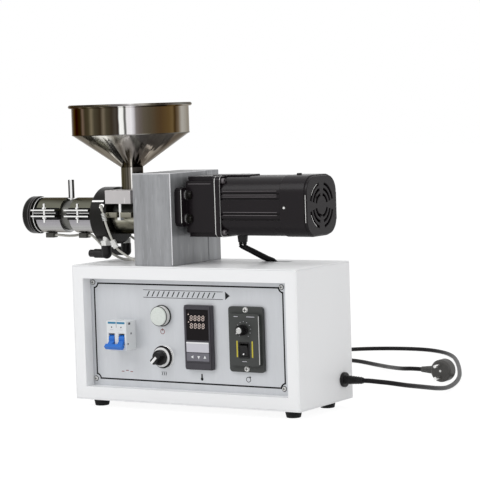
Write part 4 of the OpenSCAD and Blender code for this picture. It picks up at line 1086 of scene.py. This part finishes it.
@dataclass
class Drive:
    """The gearbox block with its gear motor."""

    y: float = 2.5
    z: float = 304.0
    half: float = 45.0
    ear_face: float = 58.0
    bell_face: float = 117.0
    end: float = 263.0
    washer: float = 1.4
    # Heights of the frame's ribs, which are drawn lighter to paint their highlights.
    ribs: tuple[float, ...] = (327.0, 321.4, 318.5, 296.0, 291.5)

    def build(self) -> None:
        """Finishes the castings and adds bolts, and the bright joint rings, lighter ribs and bright strips
        that paint highlights on the joints, ribs and edges.
        """
        refine(MILLED, 0.8, "gearbox_body", "gearbox_rear")
        refine(BLACK_ENAMEL, 0.9, "gearhead", "motor_bell")
        refine(BLACK_ENAMEL, 0.5, "motor_frame", sharp=24.0)
        refine(BLACK_ENAMEL, 1.0, "fan_cowl", sharp=24.0)
        refine(BLACK_MOULD, 0.5, "motor_gland")
        coat(SHEATH, "motor_leads")
        self._bolts()
        self._trim()
        self._ribs_and_highlight_lines()
        self._edge_highlights()

    def _four(self, x: float, wide: float, tall: float) -> Seats:
        """Four seats about the motor's line that face its far end."""
        return [((x, self.y + sy * wide, self.z + sz * tall), RIGHT) for sy in (-1, 1) for sz in (-1, 1)]

    def _bolts(self) -> None:
        """Sets the flange bolts on the ears and the through bolts on the bell."""
        flange = self._four(self.ear_face, 43.0, 17.5)
        studs("flange_washers", BRIGHT_PLATE_AND_HIGHLIGHTS, flange, 8.2, self.washer, 8.0, 32)
        studs("flange_bolts", BLACK_OXIDE, raised(flange, self.washer), 6.5, 8.0, 6.2, 32)
        # Dark hexagons that paint the shade in the bolts' sockets.
        studs("flange_sockets", SMOKED_AND_HOLE_SHADE, raised(flange, self.washer + 7.95), 3.4, 0.12, 3.4, 6)
        through = self._four(self.bell_face, 38.0, 38.0)
        studs("through_bolts", GREY_ENAMEL_AND_HIGHLIGHTS, through, 4.0, 4.5, 3.6)
        crosses("through_recess", raised(through, 4.5), 4.4, 1.0)

    def _trim(self) -> None:
        """Adds bright joint rings that paint the highlights at the motor's joints, the lead cover on the top,
        a plug screw and the cowl's screws.
        """
        inner, outer = rounded(88.0, 88.0, 6.0), rounded(90.8, 90.8, 7.0)
        for name, x, wide, finish in (
                ("gearhead_joint_highlight", 107.3, 0.9, PALE_PLATE_AND_HIGHLIGHTS), ("bell_joint_highlight", 116.6, 0.4, STEEL_HEAD_AND_HIGHLIGHT)):
            layers = ((inner, x), (outer, x), (outer, x + wide), (inner, x + wide))
            rings = [[(level, self.y + u, self.z + v) for u, v in ring] for ring, level in layers]
            Shape().loft(rings, loop=True).piece(name, finish)
        cover = Shape().box((91.0, -20.0, self.z + 43.8), (154.0, 12.0, self.z + 46.2))
        cover.piece("lead_cover", BLACK_ENAMEL, bevel=0.8)
        studs("cowl_plug", BLACK_OXIDE, [((235.0, self.y - 14.0, self.z + 44.6), UP)], 4.2, 3.0, 3.4)
        cowl = [((225.6, self.y + s * self.half, self.z - 1.4), (0, s, 0)) for s in (-1, 1)]
        studs("cowl_screws", PALE_PLATE_AND_HIGHLIGHTS, cowl, 2.0, 1.0, 1.5, 20)

    def _ribs_and_highlight_lines(self) -> None:
        """Adds the fine ribs along both sides of the frame and a line on the gearhead, drawn lighter to paint
        their highlights, and a bright strip that paints the highlight on the cowl's edge.
        """
        ribs, edge = Shape(), Shape()
        for side in (self.y - self.half, self.y + self.half):
            inset = math.copysign(0.9, side)
            for z in self.ribs:
                ribs.box((121.0, side - inset - 0.5, z - 0.35), (213.0, side - inset + 0.5, z + 0.35))
            ribs.box((61.0, side - 0.2, 337.6), (101.0, side + 0.2, 338.4))
            edge.box((261.2, side - 0.15, 281.0), (261.9, side + 0.15, 321.0))
        ribs.piece("frame_rib_highlights", GREY_ENAMEL_AND_HIGHLIGHTS)
        edge.piece("cowl_edge_highlight", PALE_PLATE_AND_HIGHLIGHTS)

    def _edge_highlights(self) -> None:
        """Adds bright strips that paint the highlights on the gearbox's edges, the ear's edge and the cowl's
        outer slots.
        """
        # Painted highlights along the gearbox's front and top edges, the ear's edge and the cowl's slots.
        worn, slots = Shape(), Shape()
        worn.box((45.1, -67.65, 219.0), (46.15, -66.6, 354.0))
        worn.box((-22.5, -67.65, 354.2), (46.15, -66.9, 355.15))
        worn.box((45.4, -66.9, 354.2), (46.15, 30.8, 355.15))
        worn.piece("gearbox_edge_highlights", EDGE_HIGHLIGHT_PAINT)
        Shape().box((57.5, -57.7, 281.0), (58.15, -57.1, 330.0)).piece("ear_edge_highlight", PALE_PLATE_AND_HIGHLIGHTS)
        for start in (112, 202):
            slots.prism(sector(34.0, 33.3, start, 5, 9), (self.end - 0.05, self.y, self.z), BACK, UP, 0.15)
        slots.piece("cowl_slot_glints", PALE_PLATE_AND_HIGHLIGHTS)


@dataclass
class BarrelLine:
    """The barrel with its die, heaters, probe and cooling jacket."""

    axis: float = SCREW_Z
    heaters: tuple[float, float] = (-237.5, -173.0)
    length: float = 46.0
    nose: float = -264.0

    def build(self) -> None:
        """Finishes the turned pieces and adds painted highlights and shade at the heater ears, rings and the
        probe fitting.
        """
        refine(TOOL_STEEL, 0.5, "barrel", "die_plate")
        coat(BRIGHT_PLATE_AND_HIGHLIGHTS, "feed_screw")
        refine(BLACK_OXIDE, 0.8, "die_nut", "cooling_jacket")
        refine(HEATER_STEEL, 0.35, "heater_front", "heater_rear")
        refine(CERAMIC, 0.8, "heater_terminals")
        refine(TUBE_STEEL, 0.6, "probe_tube")
        refine(PALE_PLATE_AND_HIGHLIGHTS, 0.6, "coolant_collars")
        refine(BLACK_MOULD, 0.8, "coolant_elbows", sharp=40.0)
        self._ear_highlights_and_shade()
        self._rings()

    def _ear_highlights_and_shade(self) -> None:
        """Adds bright strips that paint highlights on the heater ears' edges and between them, and dark boxes
        that paint the shade between, under and over the ears.
        """
        strips, gaps = Shape(), Shape()
        for x in self.heaters:
            # Rows: strips with painted highlights, then boxes with painted shade.
            for shape, inset, y0, y1, z0, z1 in (
                    (strips, -0.2, -39.7, -38.5, 287.6, 289.8), (strips, -0.2, -39.7, -38.5, 297.0, 299.2),
                    (strips, 1.5, -34.5, -30.5, 292.8, 294.0), (gaps, 0.4, -34.0, -29.0, 290.2, 296.6),
                    (gaps, 0.4, -31.5, -27.0, 282.6, 287.2), (gaps, 0.4, -28.5, -25.0, 299.6, 301.2)):
                shape.box((x + inset, y0, z0), (x + self.length - inset, y1, z1))
        strips.piece("heater_ear_highlights", BRIGHT_PLATE_AND_HIGHLIGHTS, bevel=0.3)
        gaps.piece("heater_ear_shade", BLACK_INK_AND_SHADE, bevel=0.2)

    def _rings(self) -> None:
        """Adds the die's seal, lighter rings that paint glints on the die nut, dark discs that paint the
        shade in its spanner holes, and the seat of the probe.
        """
        Shape().ring(27.0, 28.3, 0.9, (-241.9, 0, self.axis), LEFT, 72).piece("die_seal", BRIGHT_PLATE_AND_HIGHLIGHTS)
        # Lighter rings that paint glints on the die nut.
        rings = Shape()
        for x in (-252.6, -248.2):
            rings.ring(29.1, 29.6, 0.6, (x, 0, self.axis), RIGHT, 72)
        rings.piece("die_nut_glint_rings", GREY_ENAMEL_AND_HIGHLIGHTS)
        # Dark discs that paint the shade in the spanner holes.
        holes = [((self.nose, u, self.axis + v), LEFT) for u, v in arc(21.0, 45, 90, 4)]
        studs("die_spanner_holes", SMOKED_AND_HOLE_SHADE, holes, 2.6, 0.15, 2.6, 20)
        nut = [(4.9, 0), (6.6, 0), (6.6, 3.2), (5.6, 4.2), (4.9, 4.2)]
        Shape().lathe(nut, (PROBE_X, 0, self.axis + 22.6), UP, 6).piece("probe_nut", BRIGHT_PLATE_AND_HIGHLIGHTS, bevel=0.3)


@dataclass
class Feed:
    """The clamped feed block with the hopper on it."""

    seam: Outline = ((89.4, 413.0), (90.25, 413.0), (90.35, 413.5), (90.25, 414.1), (89.4, 414.1))
    lip: Outline = ((92.0, 456.0), (94.75, 455.9), (94.9, 457.0), (94.3, 458.6), (92.8, 459.6), (91.0, 459.4),
                    (89.9, 458.4))

    def build(self) -> None:
        """Finishes the block, cradle, bolts and hopper and adds the hopper's seam and lip."""
        refine(FEED_METAL, 0.6, "feed_block")
        refine(CRADLE_STEEL, 0.5, "feed_cradle")
        refine(BRIGHT_PLATE_AND_HIGHLIGHTS, 0.25, "clamp_bolts", sharp=40.0)
        for part, finish in (("bowl", BOWL_STEEL), ("cone", CONE_STEEL), ("neck", NECK_STEEL)):
            refine(finish, 0.0, "hopper_" + part, sharp=50.0)
        for name, profile, sides in (("hopper_seam", self.seam, 128), ("hopper_lip", self.lip, 144)):
            Shape().lathe(profile, (HOPPER_X, 0, 0), UP, sides).piece(name, RIM_STEEL)


@dataclass
class Leads:
    """The leads of the heaters and of the thermocouple."""

    nut: Point = (-76.4, -47.7, 253.4)
    nut_line: Point = (5.3, 4.4, -14.3)
    # Where the bright strip that paints the jacket's highlight sits.
    clip: Point = (-108.0, -37.1, 311.6)
    eye: Point = (-97.1, -43.0, 304.2)
    spring: Point = (-90.4, -50.5, 294.6)
    spring_line: Point = (0.298, 0.0, -0.955)

    def build(self) -> None:
        """Finishes the leads and adds the thermocouple's nut, a bright strip that paints a highlight on the
        jacket, the eye and the spring.
        """
        coat(SLEEVE, "heater_leads", "thermocouple_lead")
        far = Vector(self.nut) + Vector(self.nut_line).normalized() * 13.0
        Shape().rod(self.nut, tuple(far), 4.4, 4.4, 6).piece("thermocouple_nut", PALE_PLATE_AND_HIGHLIGHTS, bevel=0.5)
        # A bright strip that paints a highlight on the jacket.
        clip = Shape().prism(rect(-11.0, -1.6, 11.0, 1.6), self.clip, RIGHT, (0, 0.539, 0.842), 1.6)
        clip.piece("jacket_highlight_strip", BRIGHT_PLATE_AND_HIGHLIGHTS, bevel=0.4)
        eye = Shape().ring(2.2, 4.2, 1.4, self.eye, (0, -0.94, 0.342), 32)
        eye.piece("thermocouple_eye", BRIGHT_PLATE_AND_HIGHLIGHTS, bevel=0.3)
        self._spring()

    def _spring(self) -> None:
        """Winds the anti-kink spring at the head of the thermocouple."""
        recipe = Recipe("thermocouple_spring")
        turns, reach, tall, wire = recipe.sizes(
            Turns=5.0, Coil_Radius=3.0 * MM, Length=12.0 * MM, Wire_Radius=0.6 * MM)
        coil = recipe.node("GeometryNodeCurveSpiral", {}, {
            "Resolution": 16, "Rotations": turns, "Start Radius": reach, "End Radius": reach, "Height": tall})
        section = recipe.node("GeometryNodeCurvePrimitiveCircle", {"mode": "RADIUS"},
                              {"Resolution": 8, "Radius": wire})
        spring = recipe.node("GeometryNodeCurveToMesh", {},
                             {"Curve": coil, "Profile Curve": section, "Fill Caps": True})
        aim = Vector(self.spring_line).to_track_quat("Z", "Y").to_euler()
        recipe.grow(recipe.stood(spring, self.spring, tuple(aim)), BRIGHT_PLATE_AND_HIGHLIGHTS)


@dataclass
class MainsLead:
    """The mains lead with its gland and plug."""

    diameter: float = 7.0
    start: Point = (298.2, 49.5, 43.0)
    end: Point = (239.8, 352.0, 18.0)
    route: tuple[Point, ...] = (
        (310, 49.5, 43), (322, 52, 42), (334, 60, 40), (343, 74, 36.5), (348, 95, 32), (350, 122, 27),
        (349, 155, 21), (345, 195, 14), (337, 240, 8), (325, 288, 5), (308, 340, 4), (286, 394, 4),
        (260, 448, 4), (231, 504, 4), (200, 560, 4), (167, 612, 4), (128, 654, 4), (80, 678, 4), (24, 676, 4),
        (-30, 654, 4), (-68, 616, 4), (-78, 570, 4), (-54, 532, 4), (-8, 514, 4), (42, 500, 4), (90, 472, 4),
        (132, 434, 7), (170, 392, 12), (200, 362, 16), (221, 353, 18))
    plug: Point = (278.0, 352.0, 18.0)
    plug_half: float = 11.0
    pin_reach: float = 19.0
    pin_rise: float = 9.5
    boot: float = 272.0
    boot_ribs: int = 6

    def build(self) -> None:
        """Lays the lead, finishes the gland and plug and adds the boot's ribs."""
        refine(BLACK_MOULD, 0.6, "mains_gland")
        plug, = refine(PLUG_SKIN, 1.2, "mains_plug", sharp=40.0)
        x, y, z = self.plug
        face = y - self.plug_half
        pins = Shape()
        for rise in (-self.pin_rise, self.pin_rise):
            pins.rod((x, face - 0.2, z + rise), (x, face - self.pin_reach - 0.15, z + rise), 2.55, 2.5, 20)
        sleeves = pins.piece("plug_pins", BRIGHT_PLATE_AND_HIGHLIGHTS, bevel=0.4)
        screw = studs("plug_screw", PALE_PLATE_AND_HIGHLIGHTS, [((x, face, z), FRONT)], 2.0, 0.5, 1.6, 20)
        line = self._line(6)
        lead = Shape().tube(line, self.diameter / 2, 12).piece(
            "mains_lead", SHEATH, stands_for=("mains_cord",))
        length = sum((b - a).length for a, b in zip(line, line[1:])) * MM
        [tuple(p * MM) for p in line]
        LOG.info("mains lead: %.3f m", length)
        ribs = Shape()
        for k in range(self.boot_ribs):
            low, high = 5.5 - 0.28 * k, 6.75 - 0.28 * k
            ribs.lathe([(low, 0), (high, 0.2), (high, 1.6), (low, 1.8)],
                       (self.boot + 4.2 * k, *self.start[1:]), RIGHT, 24)
        ribs.piece("boot_ribs", BLACK_MOULD)

    def _line(self, steps: int) -> list[Vector]:
        """The smooth line through the route's points, with some steps between each pair."""
        knots = [Vector(p) for p in (self.start, *self.route, self.end)]
        last = len(knots) - 1
        line = []
        for i in range(last):
            a, b, c, d = (knots[min(max(i + k, 0), last)] for k in (-1, 0, 1, 2))
            for t in (s / steps for s in range(steps)):
                line.append(0.5 * (2 * b + (c - a) * t + (2 * a - 5 * b + 4 * c - d) * t * t
                                   + (3 * b - a - 3 * c + d) * t * t * t))
        return line + [knots[last]]


@dataclass
class Studio:
    """The camera, the lamps, the floor and the white surroundings."""

    eye: Point = (1.7166, -2.5371, 0.4585)
    turn: float = 32.14
    height: float = 3.94
    roll: float = -1.8
    lens: float = 151.4
    floor: float = 14.0
    floor_glow: float = 1.12
    floor_share: float = 0.82
    sky_on_object: float = 0.55
    target: Point = (0.05, 0.0, 0.2)
    lamps: tuple[tuple[str, Point, float, float], ...] = (
        ("key_lamp", (-0.9, -2.2, 2.3), 1.8, 36.0), ("fill_lamp", (2.4, -1.0, 1.3), 1.6, 9.0),
        ("top_lamp", (0.1, 0.3, 2.6), 2.0, 11.0))

    def build(self) -> None:
        """Sets up the shot."""
        bpy.context.scene.view_settings.view_transform = "Standard"
        self._camera()
        self._floor()
        self._world()
        for lamp in self.lamps:
            self._lamp(*lamp)

    def _add(self, name: str, data: bpy.types.ID) -> bpy.types.Object:
        """Links a new object to the scene."""
        made = bpy.data.objects.new(name, data)
        bpy.context.scene.collection.objects.link(made)
        return made

    def _camera(self) -> None:
        """Puts the camera where the photograph was taken from."""
        data = bpy.data.cameras.new("photo_camera")
        data.lens = self.lens
        data.sensor_width = 36.0
        data.clip_end = 50.0
        camera = self._add("photo_camera", data)
        camera.matrix_world = Matrix.Translation(self.eye)
        for angle, axis in ((self.turn, "Z"), (90.0 - self.height, "X"), (self.roll, "Z")):
            camera.matrix_world = camera.matrix_world @ Matrix.Rotation(math.radians(angle), 4, axis)
        bpy.context.scene.camera = camera

    def _floor(self) -> None:
        """Lays a pale floor that keeps a soft shadow."""
        mesh = bpy.data.meshes.new("studio_floor")
        corners = rect(-self.floor, -self.floor, self.floor, self.floor)
        mesh.from_pydata([(x, y, 0) for x, y in corners], [], [(0, 1, 2, 3)])
        floor = self._add("studio_floor", mesh)
        g = Shader("floor_paper")
        g.shade(Base_Color=(0.9, 0.9, 0.9), Roughness=0.9)
        glow = g.node("ShaderNodeEmission", {}, {"Strength": self.floor_glow})
        share = g.in_view() * self.floor_share
        blend = g.node("ShaderNodeMixShader", {}, {0: share, 1: g.surface, 2: glow})
        g.feed(g.outlet, blend)
        mesh.materials.append(g.material)

    def _world(self) -> None:
        """Makes the surroundings white to the eye and soft on the object."""
        world = bpy.data.worlds.new("studio_white")
        world.use_nodes = True
        bpy.context.scene.world = world
        g = Graph(world.node_tree)
        level = g.node("ShaderNodeMapRange", {}, {
            "Value": g.in_view(), "To Min": self.sky_on_object, "To Max": 1.0})
        sky = g.node("ShaderNodeBackground", {}, {"Color": (1.0, 1.0, 1.0), "Strength": level})
        g.node("ShaderNodeOutputWorld", {}, {"Surface": sky})

    def _lamp(self, name: str, place: Point, size: float, power: float) -> None:
        """Hangs a soft square lamp that faces the machine."""
        data = bpy.data.lights.new(name, "AREA")
        data.size = size
        data.energy = power
        lamp = self._add(name, data)
        lamp.location = place
        lamp.rotation_euler = (Vector(self.target) - Vector(place)).to_track_quat("-Z", "Y").to_euler()


def main() -> None:
    """Builds the studio and the sub-assemblies in order."""
    logging.basicConfig(level=logging.INFO, format="%(message)s")
    Studio().build()
    for part in (MainsLead(), Cabinet(), ControlPanel(), Breaker(), Lamp(), Selector(), TempController(),
                 SpeedController(), Drive(), BarrelLine(), Feed(), Leads()):
        part.build()
        LOG.info("%s done", type(part).__name__)


if __name__ == "__main__":
    main()
